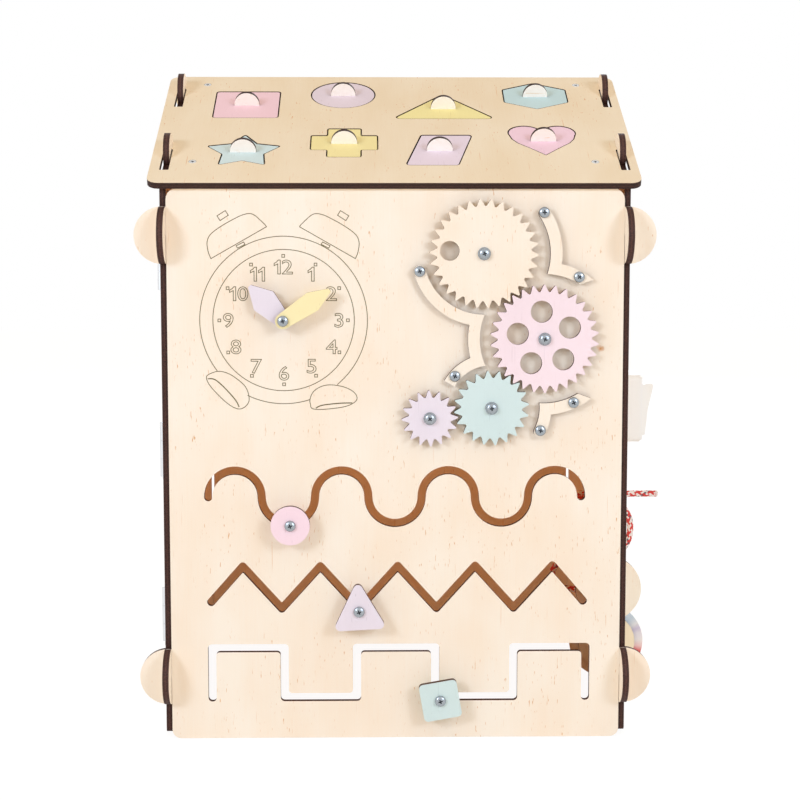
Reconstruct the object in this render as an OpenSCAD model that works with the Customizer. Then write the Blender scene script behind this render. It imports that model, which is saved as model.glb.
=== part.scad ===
// Wooden busy house for small children: four ply walls that hook into each other at round
// corner ears, a gable roof that hooks over round ears on the side walls, a peg puzzle set
// into the front slope, and a clock, a gear train and three slot mazes on the front panel.
// Millimetres, +Z up. The front faces -Y. The origin is the middle of the front panel's
// bottom edge, halfway through its thickness.

/* [Ply] */
// Thickness of every ply sheet
ply = 5.5; // [5:0.1:6]
// Gap on each side where one sheet passes through another
lap_gap = 0.35; // [0.2:0.05:0.5]

/* [House] */
// Width over the outer faces of the side walls
house_w = 400; // [396:1:430]
// Depth over the outer faces of the front and back panels
house_d = 400; // [390:1:430]
// Height of the front and back panels
panel_h = 475.2; // [472:0.2:490]
// Corner radius at the top of the front and back panels
panel_top_r = 9.5; // [4:0.5:12]
// Corner radius at the bottom of the front and back panels
panel_foot_r = 7.5; // [3:0.5:10]
// Gap from the back panel's long edges to the side walls
back_edge_gap = 2.5; // [0.5:0.1:4]
// Height of the side walls' bottom edge above the floor
wall_lift = 3.7; // [0.5:0.1:8]
// Radius of the side walls' bottom corners
wall_foot_r = 4; // [1:0.5:8]

/* [Corner ears] */
// Radius of the round ears at the corners
ear_r = 24.3; // [20:0.1:27]
// Height of the lower ears' centres
low_ear_z = 54.8; // [45:0.1:65]
// Distance of the upper ears' centres from the panels' top
high_ear_drop = 39.5; // [30:0.1:46]

/* [Roof] */
// Slope of the roof in degrees
roof_slope = 27.4; // [24:0.1:30]
// Gap between the top of the front panel and the roof above its face
roof_lift = 1.1; // [0.6:0.1:4]
// How far the eaves reach past the front and back faces, measured along the floor
eave_reach = 3.3; // [1:0.1:8]
// How far the roof reaches past the outer face of each side wall
gable_reach = 9.25; // [6:0.25:14]
// Sideways shift of the front slope on its hooks
roof_shift = -0.75; // [-1:0.25:1]
// Corner radius of the roof boards
roof_corner_r = 10; // [4:0.5:14]
// Gap between the roof boards and the gables that carry them
roof_seat_gap = 0.15; // [0.1:0.05:0.3]
// Half the gap between the two roof boards at the ridge
ridge_gap = 0.1; // [0.05:0.05:0.3]

/* [Roof hooks] */
// Radius of the round hooks on the gables
hook_r = 17.5; // [15:0.5:19]
// Distance of the lower hooks from the eave, up the slope
low_hook_s = 64.3; // [60:0.1:68]
// Distance of the upper hooks from the eave, up the slope
high_hook_s = 197.5; // [194:0.1:199]
// Width of the slots in the roof boards
hook_slot_w = 8; // [7.2:0.1:9]
// How far a slot runs down the slope from its hook's centre
hook_slot_down = 39; // [28:0.5:42]
// How far a slot runs up the slope from its hook's centre
hook_slot_up = 2.1; // [1:0.1:4]

/* [Puzzle] */
// Gap all round each piece when it lies in the middle of its hole
piece_gap = 1.2; // [0.6:0.1:1.6]
// Gap left below each piece, which slides down to the lower edge of its hole
piece_rest_gap = 0.3; // [0.2:0.05:0.4]
// Corner radius of the puzzle holes
piece_corner_r = 3.5; // [2:0.5:5]
// Side of the square
square_side = 60.4; // [54:0.2:64]
// Diameter of the circle
circle_d = 60.3; // [54:0.1:64]
// Width of the triangle between its sharp corners
triangle_w = 95.5; // [90:0.5:98]
// Height of the triangle between its sharp corners
triangle_h = 56.2; // [50:0.2:60]
// Distance from the triangle's base up to its grip
triangle_grip_up = 24.7; // [20:0.1:28]
// Height of the hexagon between its points
hexagon_h = 61; // [54:0.2:64]
// Width of the hexagon over its upright sides
hexagon_w = 60.2; // [54:0.2:64]
// Height of the hexagon's upright sides
hexagon_side_h = 30; // [24:0.2:34]
// Radius of the star's points
star_r = 35; // [31:0.2:36]
// Radius of the star's inner corners
star_inner_r = 19.7; // [17:0.1:22]
// Length of the plus sign's arms from end to end
plus_d = 60; // [54:0.2:64]
// Width of the plus sign's arms
plus_arm_w = 31; // [26:0.2:34]
// Width of the parallelogram along the eave
slant_w = 46.5; // [40:0.5:50]
// Height of the parallelogram up the slope
slant_h = 62.8; // [56:0.2:66]
// Sideways lean of the parallelogram from bottom to top
slant_lean = 14.7; // [8:0.1:16]
// Radius of the heart's two lobes
heart_lobe_r = 15.5; // [14:0.1:16]
// Height of the heart from its tip to the lobes' tops
heart_h = 61.9; // [58:0.1:64]
// Width of the half-round grip on each piece
grip_w = 22.6; // [18:0.2:28]
// Height of the grip above its piece
grip_h = 12.2; // [9:0.1:14]
// Thickness of the grips
grip_t = 4; // [3:0.5:5]
// Width of the grip's tenon, which goes through the piece
grip_tenon_w = 12; // [8:0.5:16]
// Thickness of the tray board under the puzzle
tray_t = 4; // [3:0.5:6]
// Gap from the tray to the side walls
tray_side_gap = 10; // [6:1:14]
// Gap from the tray's ends to the slope's ends
tray_end_gap = 16.5; // [15:0.5:24]
// Shift of the tray up the slope
tray_up = 7; // [2:0.5:8]

/* [Clock] */
// Clock centre, sideways
clock_x = -95.3; // [-100:0.1:-90]
// Height of the clock centre, as a share of the panel's height
clock_up = 0.7654; // [0.75:0.0002:0.78]
// Length of the hour hand from the centre
hour_len = 40.8; // [36:0.1:44]
// Half width of the hour hand at its widest
hour_half_w = 11.2; // [8:0.1:12]
// Direction of the hour hand, degrees anticlockwise from the 3
hour_angle = 134; // [120:1:150]
// Length of the minute hand from the centre
minute_len = 47.5; // [44:0.1:50]
// Half width of the minute hand at its widest
minute_half_w = 8.7; // [7:0.1:10]
// Direction of the minute hand, degrees anticlockwise from the 3
minute_angle = 33.4; // [20:0.1:50]
// Radius of the hands' round ends at the clock centre
hand_hub_r = 6.6; // [5.5:0.1:8]

/* [Gears] */
// Centre of the upper gear, sideways
gear_x = 74.6; // [72:0.1:77]
// Height of the upper gear's centre, as a share of the panel's height
gear_up = 0.8843; // [0.88:0.0001:0.888]
// Pitch diameter per tooth
gear_module = 2.96; // [2.94:0.01:3]
// Teeth on the upper and right gears
big_teeth = 30; // [30]
// Teeth on the lower gear
lower_teeth = 20; // [20]
// Teeth on the small gear
small_teeth = 16; // [16]
// Tip radius of the upper and right gears
big_tip_r = 46.1; // [45:0.1:46.4]
// Tip radius of the lower gear
lower_tip_r = 32; // [31:0.1:32.2]
// Tip radius of the small gear
small_tip_r = 24.1; // [23.6:0.1:24.4]
// Depth of the teeth
tooth_depth = 6.1; // [5:0.1:6.4]
// Width of a tooth at its rounded tip
tooth_tip_w = 1.6; // [1.2:0.1:1.8]
// Width of a tooth at its root, as a share of the pitch there
tooth_root_share = 0.74; // [0.68:0.01:0.76]
// Turn of the upper gear's first tooth in degrees
upper_phase = -1.5; // [-6:0.5:6]
// Play taken up by the lower gear in degrees
lower_play = 1.6; // [0:0.1:1.8]
// Direction from the upper gear to the right gear in degrees
right_dir = -54.4; // [-56:0.1:-53]
// Direction from the right gear to the lower gear in degrees
lower_dir = 232.7; // [231:0.1:234]
// Direction from the lower gear to the small gear in degrees
small_dir = 189.5; // [187:0.1:192]
// Stand-off of the gears and hands from the panel
bush_h = 2.5; // [2:0.1:4]
// Radius of the upper gear's finger hole
upper_hole_r = 8.3; // [7:0.1:10]
// Distance of the upper gear's finger hole from its centre
upper_hole_at = 29.3; // [26:0.1:30]
// Radius of the right gear's five holes
right_hole_r = 9.35; // [8:0.05:10]
// Distance of the right gear's holes from its centre
right_hole_at = 23.4; // [22:0.1:25]

/* [Gear guards] */
// Width of the guard arms round the gears
guard_w = 10; // [9.6:0.1:10.4]
// Gap from the upper gear's tips to the left guard
left_guard_gap = 5.3; // [4.5:0.1:6]
// Gap from the upper gear's tips to the upper right guard
right_guard_gap = 10.4; // [9.5:0.1:11]
// Gap from the right gear's tips to its guards
side_guard_gap = 8.9; // [8:0.1:10]
// Gap from the lower gear's tips to the left guard
low_left_guard_gap = 4.4; // [3.8:0.1:5]
// Gap from the lower gear's tips to the lower right guard
low_right_guard_gap = 9.3; // [8.5:0.1:10]

/* [Mazes] */
// Width of the maze slots
slot_w = 7.1; // [6.4:0.1:7.6]
// Height of the wave's centreline, as a share of the panel's height
wave_up = 0.4461; // [0.438:0.0001:0.454]
// Radius of the wave's half circles
wave_r = 22.9; // [22:0.1:23.4]
// Left end of the wave
wave_x = -161; // [-163:0.5:-158]
// Left end of the zigzag
zigzag_x = -159.3; // [-162:0.1:-157]
// Sideways run of the zigzag's first leg
zigzag_lead = 27.4; // [24:0.1:32]
// Right end of the zigzag
zigzag_end_x = 162; // [160:0.5:168]
// Sideways run of one whole zigzag
zigzag_pitch = 66.8; // [65:0.1:67.4]
// Height of the zigzag's valleys, as a share of the panel's height
zigzag_up = 0.241; // [0.236:0.001:0.248]
// Height of the zigzag's peaks above its valleys
zigzag_rise = 37; // [34:0.1:40]
// Height of the zigzag's two ends above its valleys
zigzag_end_rise = 6; // [3:0.1:10]
// Left end of the square wave
castle_x = -159.1; // [-161:0.1:-157]
// Sideways run of the square wave's outer steps
castle_step = 62.7; // [60:0.1:64]
// Sideways run of the square wave's two steps right of the middle
castle_wide_step = 67.9; // [64:0.1:69]
// Height of the square wave's lower runs, as a share of the panel's height
castle_up = 0.076; // [0.072:0.001:0.084]
// Height of the square wave's upper runs above its lower ones
castle_rise = 43.5; // [40:0.1:46]

/* [Knobs] */
// Gap from the panel to the back of the knobs
knob_stand = 8.5; // [6:0.1:10]
// Radius of the round knob
round_knob_r = 16.7; // [14:0.1:18]
// Place of the round knob in its trough, degrees past the lowest point
round_knob_at = 5; // [-20:1:20]
// Width of the triangular knob between its sharp corners
tri_knob_w = 47; // [42:0.5:52]
// Height of the triangular knob between its sharp corners
tri_knob_h = 43.9; // [40:0.1:48]
// Distance from the triangular knob's base up to its bolt
tri_knob_below = 16; // [13:0.5:18]
// Side of the square knob
square_knob_w = 32.8; // [28:0.2:36]
// Distance of the square knob from the left end of its run
square_knob_at = 4; // [0:0.5:20]

/* [Fasteners] */
// Radius of the bolts' shanks
bolt_r = 2.5; // [2:0.1:3]
// Radius of the round bolt heads
bolt_head_r = 4.7; // [4.2:0.1:5.2]
// Height of the bolt heads
bolt_head_h = 3.2; // [2.4:0.1:4]
// Radius of the nuts over their corners
nut_r = 4.6; // [4.2:0.1:5]
// Thickness of the nuts
nut_h = 4; // [3:0.1:5]
// Radius of the washers behind the maze slots
washer_r = 8; // [6.5:0.5:10]
// Thickness of the washers
washer_t = 1.2; // [0.8:0.1:1.6]
// Radial clearance of what turns on a bolt, axle or pin
run_fit = 0.06; // [0.04:0.01:0.1]
// Gap between moving pieces and what they move past
move_gap = 0.3; // [0.2:0.05:0.5]
// Gap round a fastener in its hole
fixing_gap = 0.1; // [0.05:0.05:0.2]
// Radius of the wood screws' shanks
screw_r = 1.7; // [1.2:0.1:2]
// Radius of the countersunk screw heads
screw_head_r = 3.3; // [3:0.1:4]

/* [Side doors] */
// Distance of the doors' hinge edge from the front panel's middle
door_y = 28; // [26:0.5:34]
// Width of the doors
door_w = 120; // [100:1:130]
// Height of the doors
door_h = 100; // [80:1:108]
// Gap round the doors
door_gap = 1.5; // [1:0.1:2]
// Height of the top door's middle, as a share of the panels' height
top_door_up = 0.868; // [0.86:0.001:0.875]
// Height of the middle door's middle, as a share of the panels' height
middle_door_up = 0.5253; // [0.5:0.0001:0.55]
// Height of the bottom door's middle, as a share of the panels' height
bottom_door_up = 0.2176; // [0.205:0.0001:0.23]
// Radius of the finger hole in each door
finger_hole_r = 10; // [8:0.5:12]
// Length of the hinges
hinge_len = 48; // [40:0.5:56]
// Width of each hinge leaf
hinge_leaf_w = 14; // [11:0.5:15]
// Thickness of the hinge leaves
hinge_leaf_t = 1.2; // [0.8:0.1:1.6]
// Outer radius of the hinge knuckles
knuckle_r = 2.6; // [2.4:0.1:3]
// Radius of the hinge pins
hinge_pin_r = 1.3; // [1:0.1:1.5]
// Length of the turn buttons that hold the doors shut
latch_len = 36; // [32:1:44]
// Width of the turn buttons
latch_w = 12; // [10:0.5:13]

/* [Switch] */
// Side of the switch box
switch_w = 65; // [62:0.5:70]
// How far the switch box stands off the wall
switch_d = 33; // [30:0.5:38]
// Front side of the switch box
switch_y = 130; // [125:1:140]
// Height of the switch's middle
switch_z = 273.5; // [270:0.5:280]
// Height of the rocker
rocker_h = 51; // [46:0.5:52]
// Width of the rocker
rocker_w = 45; // [40:0.5:48]
// Tilt of the rocker to each side in degrees
rocker_tilt = 9; // [5:0.5:10]

/* [Lacing] */
// Radius of the lacing holes
lace_hole_r = 4; // [3.8:0.1:5]
// Front column of lacing holes
lace_y = 190; // [189:0.5:191]
// Distance between the two columns of lacing holes
lace_column_pitch = 32; // [31:0.5:33]
// Lowest row of lacing holes
lace_z = 90; // [89:0.5:91]
// Distance between the rows of lacing holes
lace_row_pitch = 30; // [29.5:0.5:30.5]
// Diameter of the cord
cord_d = 6.2; // [5:0.1:6.4]

/* [Thumb wheels] */
// Radius of the upper thumb wheel
upper_wheel_r = 30; // [28:0.5:31]
// Radius of the lower thumb wheel
lower_wheel_r = 34; // [31:0.5:34.5]
// Height of the upper wheel's axle
upper_wheel_z = 111; // [110:0.5:114]
// Height of the lower wheel's axle
lower_wheel_z = 59.5; // [58:0.5:62]
// Place of the upper wheel's middle, back from the front panel
upper_wheel_y = 92; // [91:0.5:93]
// Place of the lower wheel's middle, back from the front panel
lower_wheel_y = 104; // [103.5:0.5:106]
// Radius of the raised disc on the lower wheel
wheel_disc_r = 26; // [20:0.5:28]
// Thickness of the raised disc
wheel_disc_t = 3; // [2:0.5:3]
// Radius of the wheel axles
axle_r = 2; // [1.6:0.1:2.4]

/* [Hidden] */

// Colours of the ply, its paints and the fittings
wood = [0.95, 0.86, 0.73];
pink = [0.94, 0.78, 0.84];
lavender = [0.82, 0.77, 0.90];
turquoise = [0.68, 0.85, 0.85];
yellow = [0.95, 0.88, 0.60];
steel = [0.72, 0.73, 0.75];
white_plastic = [0.93, 0.93, 0.93];
braid = [0.80, 0.20, 0.22];

bore_fn = 64;
edge_fn = 96;

// Heights on the front panel and the left wall
clock_z = clock_up * panel_h;
gear_z = gear_up * panel_h;
wave_z = wave_up * panel_h;
zigzag_low_z = zigzag_up * panel_h;
zigzag_high_z = zigzag_low_z + zigzag_rise;
zigzag_end_z = zigzag_low_z + zigzag_end_rise;
castle_low_z = castle_up * panel_h;
castle_high_z = castle_low_z + castle_rise;
top_door_z = top_door_up * panel_h;
middle_door_z = middle_door_up * panel_h;
bottom_door_z = bottom_door_up * panel_h;
high_ear_z = panel_h - high_ear_drop;

// Planes of the house: every wall and panel is placed by its middle plane
wall_mid = house_w / 2 - ply / 2;
back_mid = house_d - ply;
lap_w = ply + 2 * lap_gap;
ridge_y = back_mid / 2;
ridge_z = panel_h + roof_lift + house_d / 2 * tan(roof_slope);
roof_len = (house_d / 2 + eave_reach) / cos(roof_slope);
eave_y = ridge_y - roof_len * cos(roof_slope);
eave_z = ridge_z - roof_len * sin(roof_slope);
roof_w = house_w + 2 * gable_reach;

// Middles of the puzzle holes, from shares of the house's width and of the slope's length
function roof_place(across, up) = [across * house_w, up * roof_len];
square_at = roof_place(-0.3362, 0.7153);
circle_at = roof_place(-0.1162, 0.8131);
triangle_at = roof_place(0.1138, 0.6839);
hexagon_at = roof_place(0.33, 0.8048);
star_at = roof_place(-0.3298, 0.2751);
plus_at = roof_place(-0.1108, 0.3524);
slant_at = roof_place(0.0978, 0.2878);
heart_at = roof_place(0.3285, 0.3756);
piece_slip = piece_gap - piece_rest_gap;
screw_in = 21;
screws_x = wall_mid - ply / 2 - screw_in;
roof_screws_at = [for (x = [roof_shift - screws_x, roof_shift + screws_x], up = [0.1821, 0.9165])
    [x, up * roof_len]];

// Stack of the front pieces, as distances from the panel's face
gear_back = bush_h + move_gap;
gear_face = gear_back + ply;
hour_back = bush_h + move_gap;
minute_back = hour_back + ply + move_gap;
minute_face = minute_back + ply;
knob_face = knob_stand + ply;
bore_r = bolt_r + run_fit;

function polar(r, a) = [r * cos(a), r * sin(a)];

upper_c = [gear_x, gear_z];
right_c = upper_c + polar(big_teeth * gear_module, right_dir);
lower_c = right_c + polar((big_teeth + lower_teeth) / 2 * gear_module, lower_dir);
small_c = lower_c + polar((lower_teeth + small_teeth) / 2 * gear_module, small_dir);
clock_c = [clock_x, clock_z];

// Turn of a gear's first tooth so that a gap of it faces a tooth of the gear that drives it
function meshed_phase(dir, driver_phase, driver_teeth, teeth) =
    dir + 180 - 360 / teeth * (0.5 - (dir - driver_phase) / (360 / driver_teeth));
right_phase = meshed_phase(right_dir, upper_phase, big_teeth, big_teeth);
lower_phase = meshed_phase(lower_dir, right_phase, big_teeth, lower_teeth) + lower_play;
small_phase = meshed_phase(small_dir, lower_phase, lower_teeth, small_teeth);

// Guard screws, each on the middle line of the arm that it holds
left_guard_r = big_tip_r + left_guard_gap + guard_w / 2;
right_guard_r = big_tip_r + right_guard_gap + guard_w / 2;
side_guard_r = big_tip_r + side_guard_gap + guard_w / 2;
low_left_guard_r = lower_tip_r + low_left_guard_gap + guard_w / 2;
low_right_guard_r = lower_tip_r + low_right_guard_gap + guard_w / 2;
guard_bolts_at = [
    upper_c + polar(left_guard_r, 195.4), lower_c + polar(low_left_guard_r, 139),
    upper_c + polar(right_guard_r, 34.3), right_c + polar(side_guard_r, 61),
    lower_c + polar(low_right_guard_r, -24.9), right_c + polar(side_guard_r, -65)];

// Maze paths along the middles of their slots
wave_count = 7;
round_c = [wave_x + 3 * wave_r, wave_z];
round_at = round_c + polar(wave_r, -90 + round_knob_at);
zigzag_path = concat([[zigzag_x, zigzag_end_z]],
    [for (i = [0:8]) [zigzag_x + zigzag_lead + i * zigzag_pitch / 2,
        i % 2 == 0 ? zigzag_high_z : zigzag_low_z]],
    [[zigzag_end_x, zigzag_end_z]]);
triangle_at_z = zigzag_path[4];
castle_widening = castle_wide_step - castle_step;
castle_xs = [for (i = [0:5]) castle_x + i * castle_step + min(max(i - 2, 0), 2) * castle_widening];
castle_path = [for (i = [0:5]) each (i % 2 == 0
    ? [[castle_xs[i], castle_low_z], [castle_xs[i], castle_high_z]]
    : [[castle_xs[i], castle_high_z], [castle_xs[i], castle_low_z]])];
square_at_run = [castle_xs[3] + square_knob_at, castle_low_z];

// Flat screw heads: straight rim, and depth to the shank
head_rim = 1;
head_depth = 3;

// Doors and their hinges in the left wall
door_zs = [top_door_z, middle_door_z, bottom_door_z];
hinge_x = -house_w / 2 - hinge_leaf_t / 2 - knuckle_r + 0.6;
hinge_y = door_y - door_gap / 2 - 0.5;
latch_y = door_y + door_w + door_gap + latch_w / 2 + 2;

switch_face_x = house_w / 2 + switch_d;
rocker_pivot_x = switch_face_x - 2;
rocker_back = 6;
rocker_front = 10;
boss_r = 2;
boss_len = 2;

lace_columns = [lace_y, lace_y + lace_column_pitch];
lace_rows = [for (i = [0:3]) lace_z + lace_row_pitch * i];

// Route of the lacing cord: in through one hole, out and back in through the next ones
cord_route = [
    [264, 222, 179], [248, 222, 179], [230, 222, 179], [214, 222, 179], [197, 222, 179.5],
    [183, 222, 179], [171, 221.8, 178], [161, 218.6, 176.5], [155, 211, 175.5], [155, 201, 175.5],
    [161, 193.4, 176.5], [171, 190.2, 178], [183, 190, 179], [197, 190, 179.5], [211, 190, 178],
    [223, 190, 171.5], [230, 190, 162], [232, 190, 150], [230, 190, 138], [223, 190, 127.5],
    [211, 190, 121], [197, 190, 119.5], [184, 190, 119.5], [172, 190, 119.1], [162.5, 190, 116.2],
    [157, 190, 109], [157, 190, 100], [162.5, 190, 92.8], [172, 190, 89.9], [184, 190, 89.5],
    [197, 190, 89.5], [208, 190, 89.5], [218, 190, 89]];

// ---------------------------------------------------------------- shared outlines

function unit(v) = v / norm(v);

// Points of the arc that rounds corner b between neighbours a and c
function corner_arc(a, b, c, r, steps = 5) =
    let (u = unit(a - b), v = unit(c - b), half = acos(u * v) / 2)
    let (o = b + unit(u + v) * r / sin(half), p = b + u * r / tan(half), q = b + v * r / tan(half))
    let (from = atan2(p.y - o.y, p.x - o.x), to = atan2(q.y - o.y, q.x - o.x))
    let (turn = to - from > 180 ? to - from - 360 : to - from < -180 ? to - from + 360 : to - from)
    [for (i = [0:steps]) o + polar(r, from + turn * i / steps)];

// Outline with every corner rounded, by one radius or by one for each corner
function rounded(points, r) =
    let (n = len(points))
    [for (i = [0:n - 1]) each corner_arc(points[(i + n - 1) % n], points[i], points[(i + 1) % n],
        is_list(r) ? r[i] : r)];

function box_points(w, h) = [[-w / 2, -h / 2], [w / 2, -h / 2], [w / 2, h / 2], [-w / 2, h / 2]];

// Outline of a slot of half width w along a path with mitred corners
function path_side(path, w) =
    let (n = len(path))
    [for (i = [0:n - 1])
        let (a = i > 0 ? unit(path[i] - path[i - 1]) : unit(path[1] - path[0]))
        let (b = i < n - 1 ? unit(path[i + 1] - path[i]) : a)
        let (na = [-a.y, a.x], nb = [-b.y, b.x])
        let (end = i == 0 ? -a * abs(w) : i == n - 1 ? a * abs(w) : [0, 0])
        path[i] + end + w * (na + nb) / (1 + na * nb)];
function reversed(list) = [for (i = [len(list) - 1:-1:0]) list[i]];
function path_outline(path, w) = concat(path_side(path, w), reversed(path_side(path, -w)));

// Sheet parallel to the front panel, standing off its face
module on_panel(stand, t = ply)
    translate([0, -ply / 2 - stand, 0]) rotate([90, 0, 0]) linear_extrude(t) children();

// Sheet parallel to the front panel with its middle plane at y
module upright(y)
    translate([0, y + ply / 2, 0]) rotate([90, 0, 0]) linear_extrude(ply) children();

// Sheet parallel to the side walls with its middle plane at x
module sideways(x)
    translate([x - ply / 2, 0, 0]) rotate([90, 0, 90]) linear_extrude(ply) children();

// Frame of the front slope: X along the eave, Y up the slope, Z out of it from its underside
module on_roof()
    translate([0, eave_y, eave_z]) rotate([roof_slope, 0, 0]) children();

module hole_at(at, r)
    translate(at) circle(r, $fn = bore_fn);

module pie(a0, a1, r)
    polygon(concat([[0, 0]], [for (i = [0:6]) polar(r, a0 + (a1 - a0) * i / 6)]));

// Curved arm of a guard about a centre, with its middle line at radius r
module arm(centre, r, a0, a1)
    translate(centre) intersection() {
        difference() {
            circle(r + guard_w / 2, $fn = 180);
            circle(r - guard_w / 2, $fn = 180);
        }
        pie(a0, a1, 2 * r);
    }

module arm_end(centre, r, a)
    translate(centre + polar(r, a)) circle(guard_w / 2, $fn = 48);

// ---------------------------------------------------------------- walls

module panel_outline(half_w) {
    difference() {
        union() {
            polygon(rounded([[-half_w, 0], [half_w, 0], [half_w, panel_h], [-half_w, panel_h]],
                [panel_foot_r, panel_foot_r, panel_top_r, panel_top_r]));
            for (side = [-1, 1], z = [low_ear_z, high_ear_z])
                translate([side * wall_mid, z]) circle(ear_r, $fn = edge_fn);
        }
        for (side = [-1, 1], z = [low_ear_z, high_ear_z])
            translate([side * wall_mid - lap_w / 2, z - ear_r - 2]) square([lap_w, ear_r + 2]);
    }
}

module wave_slot() {
    w = slot_w / 2;
    for (i = [0:wave_count - 1])
        translate([wave_x + (2 * i + 1) * wave_r, wave_z]) intersection() {
            difference() {
                circle(wave_r + w, $fn = edge_fn);
                circle(wave_r - w, $fn = edge_fn);
            }
            translate([-2 * wave_r, i % 2 == 0 ? 0 : -2 * wave_r]) square([4 * wave_r, 2 * wave_r]);
        }
    for (x = [wave_x, wave_x + 2 * wave_count * wave_r])
        translate([x, wave_z]) circle(w, $fn = 48);
}

module path_slot(path, outer_r, inner_r) {
    n = len(path);
    // The outer side of a bend takes the large radius and its inner side the small one
    function turn_sign(i) = i == 0 || i == n - 1 ? 0
        : sign(cross(path[i] - path[i - 1], path[i + 1] - path[i]));
    left = [for (i = [0:n - 1]) turn_sign(i) > 0 ? inner_r : outer_r];
    right = [for (i = [0:n - 1]) turn_sign(i) < 0 ? inner_r : outer_r];
    polygon(rounded(path_outline(path, slot_w / 2), concat(left, reversed(right))));
}

module front_panel()
    color(wood) upright(0) difference() {
        panel_outline(wall_mid - lap_w / 2);
        wave_slot();
        path_slot(zigzag_path, 3.4, 0.8);
        path_slot(castle_path, 3.4, 3);
        for (at = concat([clock_c, upper_c, right_c, lower_c, small_c], guard_bolts_at))
            hole_at(at, bolt_r + fixing_gap);
    }

module back_panel()
    color(wood) upright(back_mid) panel_outline(house_w / 2 - ply - back_edge_gap);

// Side wall in the plane of depth and height: gable, corner ears and roof hooks
module wall_outline() {
    edge_y = lap_w / 2;
    function under_roof(y) = ridge_z - abs(ridge_y - y) * tan(roof_slope)
        - roof_seat_gap / cos(roof_slope);
    difference() {
        union() {
            polygon([each corner_arc([edge_y, low_ear_z], [edge_y, wall_lift], [ridge_y, wall_lift],
                    wall_foot_r),
                each corner_arc([ridge_y, wall_lift], [back_mid - edge_y, wall_lift],
                    [back_mid - edge_y, low_ear_z], wall_foot_r),
                [back_mid - edge_y, under_roof(back_mid - edge_y)],
                [ridge_y, under_roof(ridge_y)],
                [edge_y, under_roof(edge_y)]]);
            for (y = [0, back_mid], z = [low_ear_z, high_ear_z])
                translate([y, z]) circle(ear_r, $fn = edge_fn);
        }
        for (y = [0, back_mid], z = [low_ear_z, high_ear_z])
            translate([y - lap_w / 2, z]) square([lap_w, ear_r + 2]);
    }
    roof_hooks();
    translate([2 * ridge_y, 0]) mirror([1, 0]) roof_hooks();
}

module roof_hooks()
    translate([eave_y, eave_z]) rotate(roof_slope) for (s = [low_hook_s, high_hook_s])
        difference() {
            translate([s, ply / 2]) circle(hook_r, $fn = edge_fn);
            translate([s, -roof_seat_gap]) square([hook_r + 2, ply + 2 * roof_seat_gap]);
        }

module left_wall()
    color(wood) sideways(-wall_mid) difference() {
        wall_outline();
        for (z = door_zs) {
            translate([door_y + door_w / 2, z])
                polygon(rounded(box_points(door_w + 2 * door_gap, door_h + 2 * door_gap), 4));
            hole_at([latch_y, z], screw_r + fixing_gap);
        }
    }

module right_wall()
    color(wood) sideways(wall_mid) difference() {
        wall_outline();
        wheel_slot(upper_wheel_y - ply / 2, upper_wheel_y + ply / 2, upper_wheel_z, upper_wheel_r);
        wheel_slot(lower_wheel_y - ply / 2 - wheel_disc_t, lower_wheel_y + ply / 2, lower_wheel_z,
            lower_wheel_r);
        axle_notch(upper_wheel_y, upper_wheel_z);
        axle_notch(lower_wheel_y, lower_wheel_z);
        for (y = lace_columns, z = lace_rows)
            hole_at([y, z], lace_hole_r);
    }

axle_len = 24;
module wheel_slot(y0, y1, z, r)
    translate([y0 - move_gap, z - r - 1]) square([y1 - y0 + 2 * move_gap, 2 * r + 2]);
module axle_notch(y, z)
    translate([y - axle_len / 2 - fixing_gap, z - axle_r - fixing_gap])
        square([axle_len + 2 * fixing_gap, 2 * (axle_r + fixing_gap)]);

// ---------------------------------------------------------------- roof

module roof_board(shift) {
    difference() {
        translate([shift, roof_len / 2 - ridge_gap / 2])
            polygon(rounded(box_points(roof_w, roof_len - ridge_gap), roof_corner_r));
        for (side = [-1, 1], s = [low_hook_s, high_hook_s])
            translate([side * wall_mid, s + (hook_slot_up - hook_slot_down) / 2])
                polygon(rounded(box_points(hook_slot_w, hook_slot_up + hook_slot_down), 0.8));
    }
}

module square_shape() polygon(rounded(box_points(square_side, square_side), piece_corner_r));
module circle_shape() circle(d = circle_d, $fn = edge_fn);
module triangle_shape()
    polygon(rounded([[-triangle_w / 2, -triangle_grip_up], [triangle_w / 2, -triangle_grip_up],
        [0, triangle_h - triangle_grip_up]], piece_corner_r));
module hexagon_shape() {
    w = hexagon_w / 2;
    side = hexagon_side_h / 2;
    polygon(rounded([[-w, -side], [0, -hexagon_h / 2], [w, -side], [w, side], [0, hexagon_h / 2],
        [-w, side]], piece_corner_r));
}
module star_shape()
    polygon(rounded([for (i = [0:9]) polar(i % 2 == 0 ? star_r : star_inner_r, 90 + 36 * i)],
        [for (i = [0:9]) i % 2 == 0 ? 2 : 1]));
module plus_shape() {
    a = plus_arm_w / 2;
    b = plus_d / 2;
    polygon(rounded([[-a, -b], [a, -b], [a, -a], [b, -a], [b, a], [a, a],
        [a, b], [-a, b], [-a, a], [-b, a], [-b, -a], [-a, -a]],
        [2.5, 2.5, 1, 2.5, 2.5, 1, 2.5, 2.5, 1, 2.5, 2.5, 1]));
}
module slant_shape()
    polygon(rounded([[-slant_w / 2 - slant_lean / 2, -slant_h / 2],
        [slant_w / 2 - slant_lean / 2, -slant_h / 2],
        [slant_w / 2 + slant_lean / 2, slant_h / 2],
        [-slant_w / 2 + slant_lean / 2, slant_h / 2]], piece_corner_r));
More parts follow.
